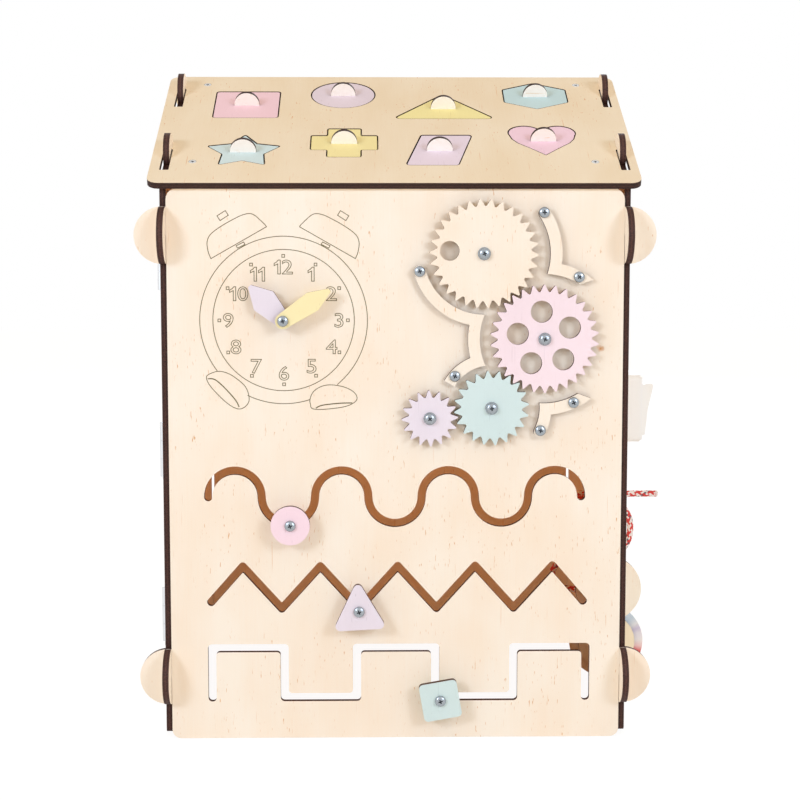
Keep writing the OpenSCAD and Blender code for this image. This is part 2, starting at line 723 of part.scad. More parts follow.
module heart_shape() {
    lobe_y = heart_h / 2 - heart_lobe_r;
    for (side = [-1, 1])
        translate([side * (heart_lobe_r - 0.4), lobe_y]) circle(heart_lobe_r, $fn = 64);
    polygon([[0, lobe_y + 3], [-15, lobe_y], [-29.8, lobe_y - 5], [-28, lobe_y - 13],
        [-23.4, lobe_y - 21.4], [-12.3, lobe_y - 33], [-1, 0.8 - heart_h / 2],
        [0, -heart_h / 2], [1, 0.8 - heart_h / 2], [12.3, lobe_y - 33], [23.4, lobe_y - 21.4],
        [28, lobe_y - 13], [29.8, lobe_y - 5], [15, lobe_y]]);
}

module front_roof()
    color(wood) on_roof() difference() {
        linear_extrude(ply) difference() {
            roof_board(roof_shift);
            translate(square_at) square_shape();
            translate(circle_at) circle_shape();
            translate(triangle_at) triangle_shape();
            translate(hexagon_at) hexagon_shape();
            translate(star_at) star_shape();
            translate(plus_at) plus_shape();
            translate(slant_at) slant_shape();
            translate(heart_at) heart_shape();
        }
        for (at = roof_screws_at)
            translate([at.x, at.y, ply]) countersink();
    }

// Hole for a wood screw whose flat head lies in the surface
module countersink()
    rotate_extrude($fn = 48) polygon([[0, 1], [screw_head_r + fixing_gap, 1],
        [screw_head_r + fixing_gap, -head_rim - fixing_gap],
        [screw_r + fixing_gap, -head_depth - fixing_gap],
        [screw_r + fixing_gap, -ply - 1], [0, -ply - 1]]);

module back_roof()
    color(wood) translate([0, 2 * ridge_y, 0]) mirror([0, 1, 0]) on_roof()
        linear_extrude(ply) roof_board(0);

// Board under the puzzle holes, screwed to the underside of the slope
module puzzle_tray()
    color(wood) on_roof() translate([0, 0, -tray_t]) linear_extrude(tray_t) difference() {
        translate([roof_shift, roof_len / 2 + tray_up])
            polygon(rounded(box_points(2 * (wall_mid - ply / 2 - tray_side_gap),
                roof_len - 2 * tray_end_gap), 6));
        for (at = roof_screws_at)
            hole_at(at, screw_r + fixing_gap);
    }

// Screw with a flat head, its top at the origin
module flat_screw(length)
    rotate_extrude($fn = 48) polygon([[0, 0], [screw_head_r, 0], [screw_head_r, -head_rim],
        [screw_r, -head_depth], [screw_r, -length], [0, -length]]);

module wood_screws() {
    color(steel) on_roof() for (at = roof_screws_at)
        translate([at.x, at.y, ply]) flat_screw(ply + tray_t);
    color(steel) for (z = door_zs)
        translate([-house_w / 2 - 2 * move_gap - ply, latch_y, z]) rotate([0, -90, 0])
            pan_head(screw_r, bolt_head_r, 2.6, 2 * ply + 2 * move_gap - 0.2);
}

// One puzzle piece in its hole, and its half-round grip with a tenon through the piece
module piece(at, paint)
    color(paint) on_roof() translate([at.x, at.y - piece_slip, fixing_gap])
        linear_extrude(ply) difference() {
            offset(delta = -piece_gap) children();
            square([grip_tenon_w + 2 * fixing_gap, grip_t + 2 * fixing_gap], center = true);
        }

module grip(at)
    color(wood) on_roof() translate([at.x, at.y - piece_slip + grip_t / 2, fixing_gap + ply])
        rotate([90, 0, 0]) linear_extrude(grip_t) {
            intersection() {
                translate([0, grip_h - grip_w / 2]) circle(d = grip_w, $fn = 64);
                translate([-grip_w, 0]) square([2 * grip_w, grip_w]);
            }
            translate([-grip_tenon_w / 2, -ply]) square([grip_tenon_w, ply + 1]);
        }

module square_piece() piece(square_at, pink) square_shape();
module circle_piece() piece(circle_at, lavender) circle_shape();
module triangle_piece() piece(triangle_at, yellow) triangle_shape();
module hexagon_piece() piece(hexagon_at, turquoise) hexagon_shape();
module star_piece() piece(star_at, turquoise) star_shape();
module plus_piece() piece(plus_at, yellow) plus_shape();
module slant_piece() piece(slant_at, lavender) slant_shape();
module heart_piece() piece(heart_at, pink) heart_shape();
module square_grip() grip(square_at);
module circle_grip() grip(circle_at);
module triangle_grip() grip(triangle_at);
module hexagon_grip() grip(hexagon_at);
module star_grip() grip(star_at);
module plus_grip() grip(plus_at);
module slant_grip() grip(slant_at);
module heart_grip() grip(heart_at);

// ---------------------------------------------------------------- fasteners

// Round-headed fastener along -Z, with its head's seat at the origin
module pan_head(r, head_r, head_h, length)
    rotate_extrude($fn = 48) polygon([[0, -length], [r, -length], [r, 0], [head_r, 0],
        [head_r, head_h * 0.4], [head_r * 0.9, head_h * 0.75], [head_r * 0.6, head_h * 0.95],
        [0, head_h]]);

module bolt(at, seat, tail)
    translate([at.x, -ply / 2 - seat, at.y]) rotate([90, 0, 0])
        pan_head(bolt_r, bolt_head_r, bolt_head_h, seat + ply + tail);

module ring(r_out, r_in, h)
    difference() {
        cylinder(h = h, r = r_out, $fn = bore_fn);
        translate([0, 0, -1]) cylinder(h = h + 2, r = r_in, $fn = bore_fn);
    }

// Washer or bush in front of the panel, from the given stand-off
module spacer(at, stand, h, r)
    translate([at.x, -ply / 2 - stand, at.y]) rotate([90, 0, 0]) ring(r, bore_r, h);

module nut(at, behind)
    translate([at.x, ply / 2 + behind, at.y]) rotate([-90, 0, 0]) difference() {
        cylinder(h = nut_h, r = nut_r, $fn = 6);
        translate([0, 0, -1]) cylinder(h = nut_h + 2, r = bore_r, $fn = bore_fn);
    }

module gear_bolts()
    color(steel) for (at = [upper_c, right_c, lower_c, small_c]) {
        bolt(at, gear_face + 2 * move_gap + washer_t, nut_h + 1);
        spacer(at, gear_face + move_gap, washer_t, bolt_head_r + 0.8);
    }

module gear_bushes()
    color(steel) for (at = [upper_c, right_c, lower_c, small_c, clock_c])
        spacer(at, 0, bush_h, bolt_head_r + 1);

module panel_nuts()
    color(steel) for (at = concat([upper_c, right_c, lower_c, small_c, clock_c], guard_bolts_at))
        nut(at, 0);

module guard_bolts()
    color(steel) for (at = guard_bolts_at)
        bolt(at, ply, nut_h + 1);

module clock_bolt()
    color(steel) bolt(clock_c, minute_face + move_gap, nut_h + 1);

// ---------------------------------------------------------------- clock hands

module hand(angle, length, half_w, widest, back, paint)
    color(paint) on_panel(back) translate(clock_c) rotate(angle) difference() {
        hull() {
            circle(hand_hub_r, $fn = 48);
            for (side = [-1, 1])
                translate([widest, side * (half_w - 3)]) circle(3, $fn = 32);
            for (side = [-1, 1])
                translate([length - 1.2, side * 0.8]) circle(1.2, $fn = 32);
        }
        circle(bore_r, $fn = bore_fn);
    }

module hour_hand() hand(hour_angle, hour_len, hour_half_w, 23, hour_back, lavender);
module minute_hand() hand(minute_angle, minute_len, minute_half_w, 29.7, minute_back, yellow);

// ---------------------------------------------------------------- gear train

// Outline of a gear: near-triangular teeth with rounded tips, and rounded roots between them
function gear_points(tip_r, teeth, phase) =
    let (pitch = 360 / teeth, root_r = tip_r - tooth_depth)
    let (root_w = tooth_root_share * 2 * PI * root_r / teeth, gap = 180 / PI / root_r)
    let (valley = pitch / 2 - root_w / 2 * gap)
    [for (i = [0:teeth - 1], k = [[-root_w / 2, 0.8], [-tooth_tip_w / 2, tooth_depth - 0.6],
            [-tooth_tip_w / 4, tooth_depth - 0.1], [tooth_tip_w / 4, tooth_depth - 0.1],
            [tooth_tip_w / 2, tooth_depth - 0.6], [root_w / 2, 0.8],
            [pitch / 2 / gap - 0.55 * valley / gap, 0.1], [pitch / 2 / gap + 0.55 * valley / gap, 0.1]])
        let (r = root_r + k[1])
        polar(r, phase + i * pitch + k[0] * (abs(k[0]) > root_w / 2 + 0.01 ? gap : 180 / PI / r))];

module gear(at, tip_r, teeth, phase, paint)
    color(paint) on_panel(gear_back) difference() {
        translate(at) polygon(gear_points(tip_r, teeth, phase));
        hole_at(at, bore_r);
        children();
    }

module upper_gear()
    gear(upper_c, big_tip_r, big_teeth, upper_phase, wood)
        hole_at(upper_c + polar(upper_hole_at, 175.3), upper_hole_r);
module right_gear()
    gear(right_c, big_tip_r, big_teeth, right_phase, pink)
        for (i = [0:4]) hole_at(right_c + polar(right_hole_at, 24.8 + 72 * i), right_hole_r);
module lower_gear() gear(lower_c, lower_tip_r, lower_teeth, lower_phase, turquoise);
module small_gear() gear(small_c, small_tip_r, small_teeth, small_phase, lavender);

// Round space that a guard leaves free about a gear, inside an arm at radius r
module clear_of(centre, r)
    translate(centre) circle(r - guard_w / 2, $fn = 180);

module guard() color(wood) on_panel(0) difference() {
    children();
    for (at = guard_bolts_at)
        hole_at(at, bolt_r + fixing_gap);
}

module left_guard()
    guard() {
        difference() {
            union() {
                arm(upper_c, left_guard_r, 195, 276);
                arm(right_c, side_guard_r, 150, 212);
                arm(lower_c, low_left_guard_r, 96, 150);
            }
            clear_of(upper_c, left_guard_r);
            clear_of(right_c, side_guard_r);
            clear_of(lower_c, low_left_guard_r);
        }
        arm_end(upper_c, left_guard_r, 195);
    }

// Slanted cut that leaves a pointed tip at the outer edge of an arm
module tip_cut(centre, r, inner_a, outer_a) {
    far = outer_a + 2 * (outer_a - inner_a);
    translate(centre) polygon([polar(r - guard_w, inner_a + (inner_a - outer_a) / 2),
        polar(r + guard_w / 2, outer_a), polar(r + guard_w, outer_a),
        polar(r + guard_w, far), polar(r - guard_w, far)]);
}

module upper_right_guard()
    guard() {
        difference() {
            union() {
                arm(upper_c, right_guard_r, -24, 33.5);
                arm(right_c, side_guard_r, 48, 100);
            }
            clear_of(upper_c, right_guard_r);
            clear_of(right_c, side_guard_r);
            tip_cut(right_c, side_guard_r, 58, 50.5);
        }
        arm_end(upper_c, right_guard_r, 33.5);
    }

module lower_right_guard()
    guard() {
        difference() {
            union() {
                arm(lower_c, low_right_guard_r, -26.5, 24);
                arm(right_c, side_guard_r, -104, -48);
            }
            clear_of(lower_c, low_right_guard_r);
            clear_of(right_c, side_guard_r);
            tip_cut(right_c, side_guard_r, -59, -51.5);
        }
        arm_end(lower_c, low_right_guard_r, -26.5);
    }

// ---------------------------------------------------------------- maze knobs

module knob(at, turn, paint)
    color(paint) on_panel(knob_stand) translate(at) difference() {
        rotate(turn) children();
        circle(bore_r, $fn = bore_fn);
    }

module round_knob() knob(round_at, 0, pink) circle(round_knob_r, $fn = edge_fn);
module triangle_knob()
    knob(triangle_at_z, 2.9, lavender)
        polygon(rounded([[-tri_knob_w / 2, -tri_knob_below], [tri_knob_w / 2, -tri_knob_below],
            [0, tri_knob_h - tri_knob_below]], 4));
module square_knob()
    knob(square_at_run, 10, turquoise)
        polygon(rounded(box_points(square_knob_w, square_knob_w), 3.5));

// Bolt, spacer, washer and nut that carry a knob along its slot
module slider(at)
    color(steel) {
        bolt(at, knob_face + move_gap, 2 * move_gap + washer_t + nut_h + 1);
        spacer(at, move_gap, knob_stand - 2 * move_gap, slot_w / 2 + 2);
        translate([at.x, ply / 2 + move_gap, at.y]) rotate([-90, 0, 0])
            ring(washer_r, bore_r, washer_t);
        nut(at, move_gap + washer_t + fixing_gap);
    }

module round_slider() slider(round_at);
module triangle_slider() slider(triangle_at_z);
module square_slider() slider(square_at_run);

// ---------------------------------------------------------------- doors in the left wall

module door(z)
    color(wood) sideways(-wall_mid) difference() {
        translate([door_y + door_w / 2, z]) polygon(rounded(box_points(door_w, door_h), 3));
        hole_at([door_y + door_w - 22, z], finger_hole_r);
    }

// Leaf of a butt hinge on the outer face: plate to one side of the pin, and its knuckles
module hinge_leaf(z, side, knuckles) {
    third = hinge_len / 3;
    plate_y = side > 0 ? hinge_y + knuckle_r + move_gap : hinge_y - knuckle_r - move_gap - hinge_leaf_w;
    difference() {
        union() {
            translate([-house_w / 2 - hinge_leaf_t, plate_y, z - hinge_len / 2])
                cube([hinge_leaf_t, hinge_leaf_w, hinge_len]);
            for (k = knuckles) {
                low = z - hinge_len / 2 + k * third + move_gap / 2;
                translate([hinge_x, hinge_y, low]) cylinder(h = third - move_gap, r = knuckle_r, $fn = 48);
                translate([-house_w / 2 - hinge_leaf_t, side > 0 ? hinge_y : plate_y, low])
                    cube([hinge_leaf_t, hinge_leaf_w + knuckle_r + move_gap, third - move_gap]);
            }
        }
        for (k = knuckles)
            translate([hinge_x, hinge_y, z - hinge_len / 2 + k * third - 1])
                cylinder(h = third + 2, r = hinge_pin_r + run_fit, $fn = 48);
    }
}

module wall_hinge_leaves()
    color(steel) for (z = door_zs) {
        hinge_leaf(z, -1, [0, 2]);
        translate([hinge_x, hinge_y, z - hinge_len / 2]) cylinder(h = hinge_len, r = hinge_pin_r, $fn = 48);
    }

module top_door() door(top_door_z);
module middle_door() door(middle_door_z);
module bottom_door() door(bottom_door_z);
module top_hinge_leaf() color(steel) hinge_leaf(top_door_z, 1, [1]);
module middle_hinge_leaf() color(steel) hinge_leaf(middle_door_z, 1, [1]);
module bottom_hinge_leaf() color(steel) hinge_leaf(bottom_door_z, 1, [1]);

// Wooden turn button beside a door, shown turned clear of it
module latch(z)
    color(wood) translate([-house_w / 2 - move_gap - ply, 0, 0]) rotate([90, 0, 90])
        linear_extrude(ply) difference() {
            translate([latch_y, z]) polygon(rounded(box_points(latch_w, latch_len), latch_w / 2 - 0.5));
            hole_at([latch_y, z], screw_r + run_fit);
        }

module top_latch() latch(top_door_z);
module middle_latch() latch(middle_door_z);
module bottom_latch() latch(bottom_door_z);

// ---------------------------------------------------------------- switch on the right wall

module switch_block(x0, x1, w, r)
    translate([x0, switch_y + switch_w / 2, switch_z]) rotate([90, 0, 90]) linear_extrude(x1 - x0)
        polygon(rounded(box_points(w, w), r));

module switch_box() {
    recess_h = rocker_h + 4.5;
    recess_w = rocker_w + 1.2;
    color(white_plastic) difference() {
        union() {
            switch_block(house_w / 2, house_w / 2 + 7, switch_w, 4);
            switch_block(house_w / 2 + 6, switch_face_x - 2, switch_w - 2, 5);
            switch_block(switch_face_x - 3, switch_face_x, switch_w - 5, 4);
        }
        translate([switch_face_x - 14, switch_y + switch_w / 2 - recess_w / 2, switch_z - recess_h / 2])
            cube([20, recess_w, recess_h]);
        rocker_bosses(boss_r + run_fit, boss_len + move_gap);
    }
}

module rocker_bosses(r, reach)
    translate([rocker_pivot_x - 4, switch_y + switch_w / 2 + rocker_w / 2 + reach, switch_z])
        rotate([90, 0, 0]) cylinder(h = rocker_w + 2 * reach, r = r, $fn = 48);

// Rocker with its top side out, on two bosses that turn in the box
module switch_rocker()
    color(white_plastic) union() {
        translate([rocker_pivot_x - 4, switch_y + switch_w / 2 + rocker_w / 2, switch_z])
            rotate([90, 0, 0]) rotate(-rocker_tilt) linear_extrude(rocker_w)
                polygon(rounded([[4 - rocker_back, -rocker_h / 2 + 4], [4 - rocker_back, rocker_h / 2 - 4],
                    [4 + rocker_front, rocker_h / 2], [4 + rocker_front - 1.5, 0],
                    [4 + rocker_front, -rocker_h / 2]], [1, 1, 2, 2, 2]));
        rocker_bosses(boss_r, boss_len);
    }

// ---------------------------------------------------------------- thumb wheels

module wheel(y, z, thick, r)
    translate([wall_mid, y + thick, z]) rotate([90, 0, 0]) cylinder(h = thick, r = r, $fn = 128);

module axle(y, z, r, length)
    translate([wall_mid, y + length / 2, z]) rotate([90, 0, 0]) cylinder(h = length, r = r, $fn = bore_fn);

module upper_wheel()
    color(wood) difference() {
        wheel(upper_wheel_y - ply / 2, upper_wheel_z, ply, upper_wheel_r);
        axle(upper_wheel_y, upper_wheel_z, axle_r + run_fit, 4 * ply);
    }

module lower_wheel()
    color(turquoise) difference() {
        union() {
            wheel(lower_wheel_y - ply / 2, lower_wheel_z, ply, lower_wheel_r);
            wheel(lower_wheel_y - ply / 2 - wheel_disc_t, lower_wheel_z, ply, wheel_disc_r);
        }
        axle(lower_wheel_y, lower_wheel_z, axle_r + run_fit, 5 * ply);
    }

module wheel_axles()
    color(steel) {
        axle(upper_wheel_y, upper_wheel_z, axle_r, axle_len);
        axle(lower_wheel_y, lower_wheel_z, axle_r, axle_len);
    }

// ---------------------------------------------------------------- lacing cord

// Point on the smooth curve through the route, at t from 0 to the last point's index
function spline_at(t) =
    let (n = len(cord_route), i = min(floor(t), n - 2), f = t - i)
    let (p0 = cord_route[max(i - 1, 0)], p1 = cord_route[i])
    let (p2 = cord_route[i + 1], p3 = cord_route[min(i + 2, n - 1)])
    0.5 * (2 * p1 + (p2 - p0) * f + (2 * p0 - 5 * p1 + 4 * p2 - p3) * f * f
        + (3 * p1 - p0 - 3 * p2 + p3) * f * f * f);

rings = 2 * len(cord_route) - 1;
sides = 8;
function ring_centre(i) = spline_at(i / 2);
function ring_dir(i) = unit(ring_centre(min(i + 1, rings - 1)) - ring_centre(max(i - 1, 0)));
// Sideways direction of each ring, carried along the curve without twist
function carried(side, dir) = unit(side - (side * dir) * dir);
function ring_sides() =
    [for (i = 0, v = carried([0, 1, 0], ring_dir(0)); i < rings;
        i = i + 1, v = carried(v, ring_dir(min(i, rings - 1)))) v];

module lacing_cord() {
    across = ring_sides();
    points = [for (i = [0:rings - 1], k = [0:sides - 1])
        let (v = across[i], w = cross(ring_dir(i), v))
        ring_centre(i) + cord_d / 2 * (cos(360 * k / sides) * v + sin(360 * k / sides) * w)];
    walls = [for (i = [0:rings - 2], k = [0:sides - 1])
        let (a = i * sides + k, b = i * sides + (k + 1) % sides)
        each [[a, b, b + sides], [a, b + sides, a + sides]]];
    ends = [[for (k = [0:sides - 1]) sides - 1 - k],
        [for (k = [0:sides - 1]) (rings - 1) * sides + k]];
    color(braid) polyhedron(points, concat(reversed_faces(walls), reversed_faces(ends)));
}
function reversed_faces(faces) = [for (f = faces) reversed(f)];

front_panel();
back_panel();
left_wall();
right_wall();
front_roof();
back_roof();
puzzle_tray();
wood_screws();
square_piece();
circle_piece();
triangle_piece();
hexagon_piece();
star_piece();
plus_piece();
slant_piece();
heart_piece();
square_grip();
circle_grip();
triangle_grip();
hexagon_grip();
star_grip();
plus_grip();
slant_grip();
heart_grip();
hour_hand();
minute_hand();
clock_bolt();
upper_gear();
right_gear();
lower_gear();
small_gear();
gear_bolts();
gear_bushes();
panel_nuts();
left_guard();
upper_right_guard();
lower_right_guard();
guard_bolts();
round_knob();
triangle_knob();
square_knob();
round_slider();
triangle_slider();
square_slider();
top_door();
middle_door();
bottom_door();
wall_hinge_leaves();
top_hinge_leaf();
middle_hinge_leaf();
bottom_hinge_leaf();
top_latch();
middle_latch();
bottom_latch();
switch_box();
switch_rocker();
lacing_cord();
upper_wheel();
lower_wheel();
wheel_axles();
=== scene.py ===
# Wooden busy house: birch ply walls and roof that hook together, with painted ply toys,
# zinc bolts, steel hinges, a plastic rocker switch and a braided lacing cord.
# Metres, +Z up, the front faces -Y, and the origin is on the front panel's bottom edge.
from math import cos, pi, radians, sin, sqrt

import bmesh
import bpy
from mathutils import Matrix, Vector


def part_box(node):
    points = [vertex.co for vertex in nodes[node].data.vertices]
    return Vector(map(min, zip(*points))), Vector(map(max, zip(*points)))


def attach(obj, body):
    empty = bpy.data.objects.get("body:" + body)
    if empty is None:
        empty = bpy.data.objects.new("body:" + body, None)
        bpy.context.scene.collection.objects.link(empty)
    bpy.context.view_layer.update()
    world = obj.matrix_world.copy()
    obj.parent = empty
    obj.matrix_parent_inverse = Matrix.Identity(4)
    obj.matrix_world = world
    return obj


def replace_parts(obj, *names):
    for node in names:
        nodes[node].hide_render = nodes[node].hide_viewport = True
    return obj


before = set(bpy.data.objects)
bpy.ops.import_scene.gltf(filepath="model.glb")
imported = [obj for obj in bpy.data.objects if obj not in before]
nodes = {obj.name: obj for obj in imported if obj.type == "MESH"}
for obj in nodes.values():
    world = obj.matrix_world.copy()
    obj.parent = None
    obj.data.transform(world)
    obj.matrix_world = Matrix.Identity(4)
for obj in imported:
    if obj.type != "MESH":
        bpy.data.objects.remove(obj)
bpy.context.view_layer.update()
mm = 0.001


# ---------------------------------------------------------------- camera, light and floor
# The house stands on a white table and is seen from in front, from a little below the
# height of its eaves. Soft light comes from large lamps on both sides and behind, and from
# the white room. A small warm lamp stands for light thrown about between the walls inside.

camera_dip = 5.73
camera_turn = -1.0
focal_pixels = 1711.7
image_pixels = 800
camera = bpy.data.objects.new("camera", bpy.data.cameras.new("camera"))
bpy.context.scene.collection.objects.link(camera)
camera.location = (-0.0218, -1.45855, 0.4416)
camera.rotation_euler = (radians(90 - camera_dip), 0, radians(camera_turn))
camera.data.sensor_width = 36
camera.data.lens = camera.data.sensor_width * focal_pixels / image_pixels
bpy.context.scene.camera = camera
bpy.context.scene.view_settings.view_transform = "Standard"


def add_node(tree, kind, *values, **settings):
    """New shader node with its live inputs set in order; gives its first live output."""
    made = tree.nodes.new("ShaderNode" + kind)
    for name, setting in settings.items():
        setattr(made, name, setting)
    for socket, value in zip([s for s in made.inputs if s.enabled], values):
        if isinstance(value, bpy.types.NodeSocket):
            tree.links.new(value, socket)
        elif value is not None:
            socket.default_value = value
    return next(s for s in made.outputs if s.enabled)


def seen_directly(tree):
    """Mask that is 1 for the camera and for mirrors."""
    path = tree.nodes.new("ShaderNodeLightPath").outputs
    return add_node(tree, "Math", path["Is Camera Ray"], path["Is Glossy Ray"],
                    operation="MAXIMUM")


room_colour = (1.0, 0.81, 0.59, 1)
room_strength = 0.63
world = bpy.data.worlds.new("white_room")
bpy.context.scene.world = world
world.use_nodes = True
room = world.node_tree
room_light = add_node(room, "Background", room_colour, room_strength)
seen_white = add_node(room, "Background", (1, 1, 1, 1), 1.0)
room.links.new(add_node(room, "MixShader", seen_directly(room), room_light, seen_white),
               room.nodes["World Output"].inputs["Surface"])


def lamp(name, at, towards, size, watts, colour):
    """Round area lamp that the camera doesn't see."""
    light = bpy.data.lights.new(name, "AREA")
    light.shape = "DISK"
    light.size = size
    light.energy = watts
    light.color = colour
    holder = bpy.data.objects.new(name, light)
    bpy.context.scene.collection.objects.link(holder)
    holder.location = at
    holder.rotation_euler = (Vector(towards) - Vector(at)).to_track_quat("-Z", "Y").to_euler()
    holder.visible_camera = False


daylight = (0.68, 0.8, 0.99)
wood_glow = (1.0, 0.42, 0.15)
lamp("left_lamp", (-1.6, -1.8, 1.2), (0, 0, 0.3), size=0.8, watts=22.5, colour=daylight)
lamp("right_lamp", (1.5, -1.9, 1.2), (0, 0, 0.3), size=0.9, watts=19.5, colour=daylight)
lamp("back_lamp", (0.6, 3.0, 1.6), (0, 0.4, 0.3), size=1.6, watts=28, colour=daylight)
lamp("inside_lamp", (0, 0.2, 0.42), (0, 0.3, 0.0), size=0.25, watts=0.22, colour=wood_glow)

floor_half = 6.0
floor_gap = 0.2 * mm
floor_corners = [(-floor_half, -floor_half, 0), (floor_half, -floor_half, 0),
                 (floor_half, floor_half, 0), (-floor_half, floor_half, 0)]
floor_mesh = bpy.data.meshes.new("floor")
floor_mesh.from_pydata(floor_corners, [], [(0, 1, 2, 3)])
floor = bpy.data.objects.new("floor", floor_mesh)
floor.location.z = -floor_gap
bpy.context.scene.collection.objects.link(floor)


def srgb(red, green, blue):
    """Linear colour from 8-bit screen values."""
    shares = [c / 255 for c in (red, green, blue)]
    return tuple(s / 12.92 if s <= 0.04045 else ((s + 0.055) / 1.055) ** 2.4
                 for s in shares) + (1.0,)


def new_material(name):
    """New material, its node tree and its main shader."""
    material = bpy.data.materials.new(name)
    material.use_nodes = True
    return material, material.node_tree, material.node_tree.nodes["Principled BSDF"]


glow_strength = 1.1
most_glow = 0.85
white_table, tree, matt_top = new_material("white_table")
matt_top.inputs["Base Color"].default_value = srgb(240, 240, 240)
matt_top.inputs["Roughness"].default_value = 0.9
glow = add_node(tree, "Emission", (1, 1, 1, 1), glow_strength)
glow_share = add_node(tree, "Math", seen_directly(tree), most_glow, operation="MULTIPLY")
tree.links.new(add_node(tree, "MixShader", glow_share, matt_top.outputs[0], glow),
               tree.nodes["Material Output"].inputs["Surface"])
floor_mesh.materials.append(white_table)


# ---------------------------------------------------------------- lacing cord
# A limp 6 mm braided polyester cord, red and white with a dark tracer, pulled in and out
# through the lacing holes of the right wall. Both of its ends are cut and sealed.

# The route is in millimetres, from the upper end to the lower one, both outside the wall.
cord_route = [
    (264, 222, 179), (248, 222, 179), (230, 222, 179), (214, 222, 179), (197, 222, 179.5),
    (183, 222, 179), (171, 221.8, 178), (161, 218.6, 176.5), (155, 211, 175.5), (155, 201, 175.5),
    (161, 193.4, 176.5), (171, 190.2, 178), (183, 190, 179), (197, 190, 179.5), (211, 190, 178),
    (223, 190, 171.5), (230, 190, 162), (232, 190, 150), (230, 190, 138), (223, 190, 127.5),
    (211, 190, 121), (197, 190, 119.5), (184, 190, 119.5), (172, 190, 119.1), (162.5, 190, 116.2),
    (157, 190, 109), (157, 190, 100), (162.5, 190, 92.8), (172, 190, 89.9), (184, 190, 89.5),
    (197, 190, 89.5), (208, 190, 89.5), (218, 190, 89)]
cord_radius = 2.95 * mm
strand_swell = 0.25 * mm
strands = 8
cord_pitch = 26 * mm
cord_sides = 32
ring_step = 0.75 * mm
seal_length = 1.6 * mm
seal_share = 0.45


def smooth_path(points, step, closed=False):
    """Points of the smooth curve through the given ones, about a step apart."""
    points = [Vector(p) for p in points]
    count = len(points)
    out = []
    for i in range(count if closed else count - 1):
        if closed:
            p0, p1, p2, p3 = (points[(i + k) % count] for k in (-1, 0, 1, 2))
        else:
            p0, p1 = points[max(i - 1, 0)], points[i]
            p2, p3 = points[i + 1], points[min(i + 2, count - 1)]
        parts = max(2, round((p2 - p1).length / step))
        for k in range(parts):
            f = k / parts
            out.append(0.5 * (2 * p1 + (p2 - p0) * f + (2 * p0 - 5 * p1 + 4 * p2 - p3) * f * f
                              + (3 * p1 - p0 - 3 * p2 + p3) * f * f * f))
    if not closed:
        out.append(points[-1])
    return out


def new_band(form, low, high):
    """Faces between two rings of points, of which one may be a single point."""
    faces = []
    for k in range(max(len(low), len(high))):
        corners = (low[k % len(low)], low[(k + 1) % len(low)],
                   high[(k + 1) % len(high)], high[k % len(high)])
        faces.append(form.faces.new(list(dict.fromkeys(corners))))
    return faces


def new_piece(name, form, body, slot, *materials, sharp=None):
    """Object from a bmesh that rides on a body, smooth up to the sharp angle if it has one."""
    mesh = bpy.data.meshes.new(name)
    form.to_mesh(mesh)
    form.free()
    for material in materials:
        mesh.materials.append(material)
    if sharp:
        mesh.shade_smooth()
        mesh.set_sharp_from_angle(angle=radians(sharp))
    piece = bpy.data.objects.new(name, mesh)
    bpy.context.scene.collection.objects.link(piece)
    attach(piece, body)
    return piece


centres = smooth_path([Vector(p) * mm for p in cord_route], ring_step)
cord_length = sum((b - a).length for a, b in zip(centres, centres[1:]))
tube = bmesh.new()
wrap = tube.loops.layers.uv.new("wrap")
side = Vector((0, 1, 0))
run = 0.0
rows = []
for i, centre in enumerate(centres):
    ahead = (centres[min(i + 1, len(centres) - 1)] - centres[max(i - 1, 0)]).normalized()
    side = (side - side.dot(ahead) * ahead).normalized()
    up = ahead.cross(side)
    run += (centre - centres[i - 1]).length if i else 0
    end_gap = min(run, cord_length - run)
    into_seal = max(0.0, 1 - end_gap / seal_length)
    sealed = seal_share + (1 - seal_share) * sqrt(1 - into_seal ** 2)
    ring = []
    for k in range(cord_sides):
        turn = k / cord_sides
        left_lay = sin(pi * strands * (turn + run / cord_pitch))
        right_lay = sin(pi * strands * (turn - run / cord_pitch))
        swell = strand_swell * (abs(left_lay) + abs(right_lay) - 1)
        outwards = cos(2 * pi * turn) * side + sin(2 * pi * turn) * up
        ring.append(tube.verts.new(centre + (cord_radius + swell) * sealed * outwards))
    rows.append((ring, run))
for (low, low_run), (high, high_run) in zip(rows, rows[1:]):
    for k, face in enumerate(new_band(tube, low, high)):
        face.smooth = True
        corners = ((k, low_run), (k + 1, low_run), (k + 1, high_run), (k, high_run))
        for loop, (around, along) in zip(face.loops, corners):
            loop[wrap].uv = (around / cord_sides, along / cord_pitch)
tube.faces.new(list(reversed(rows[0][0])))
tube.faces.new(rows[-1][0])


def shade(tree, mask, off, on):
    """Colour that goes from off to on with a mask."""
    return add_node(tree, "Mix", mask, off, on, data_type="RGBA")


def bumped(tree, shader, height, strength, distance):
    """Bump on a shader, as high as distance where its strength is 1."""
    bump = tree.nodes.new("ShaderNodeBump")
    bump.inputs["Strength"].default_value = strength
    bump.inputs["Distance"].default_value = distance
    tree.links.new(height, bump.inputs["Height"])
    tree.links.new(bump.outputs[0], shader.inputs["Normal"])


def split_up(tree, vector):
    """X, Y and Z of a vector."""
    split = tree.nodes.new("ShaderNodeSeparateXYZ")
    tree.links.new(vector, split.inputs[0])
    return split.outputs


fibre_scale = 1800
braid_material, tree, braid = new_material("braid")
braid.inputs["Roughness"].default_value = 0.85
braid.inputs["Sheen Weight"].default_value = 0.35
across_cord, along_cord, _ = split_up(tree, add_node(tree, "UVMap", uv_map="wrap"))


def braid_math(operation, a, b=None):
    return add_node(tree, "Math", a, b, operation=operation)


def strand_number(lay):
    """Number of the strand that lies here, among those of one hand."""
    slant = braid_math(lay, across_cord, along_cord)
    return braid_math("FLOOR", braid_math("MULTIPLY", slant, strands))


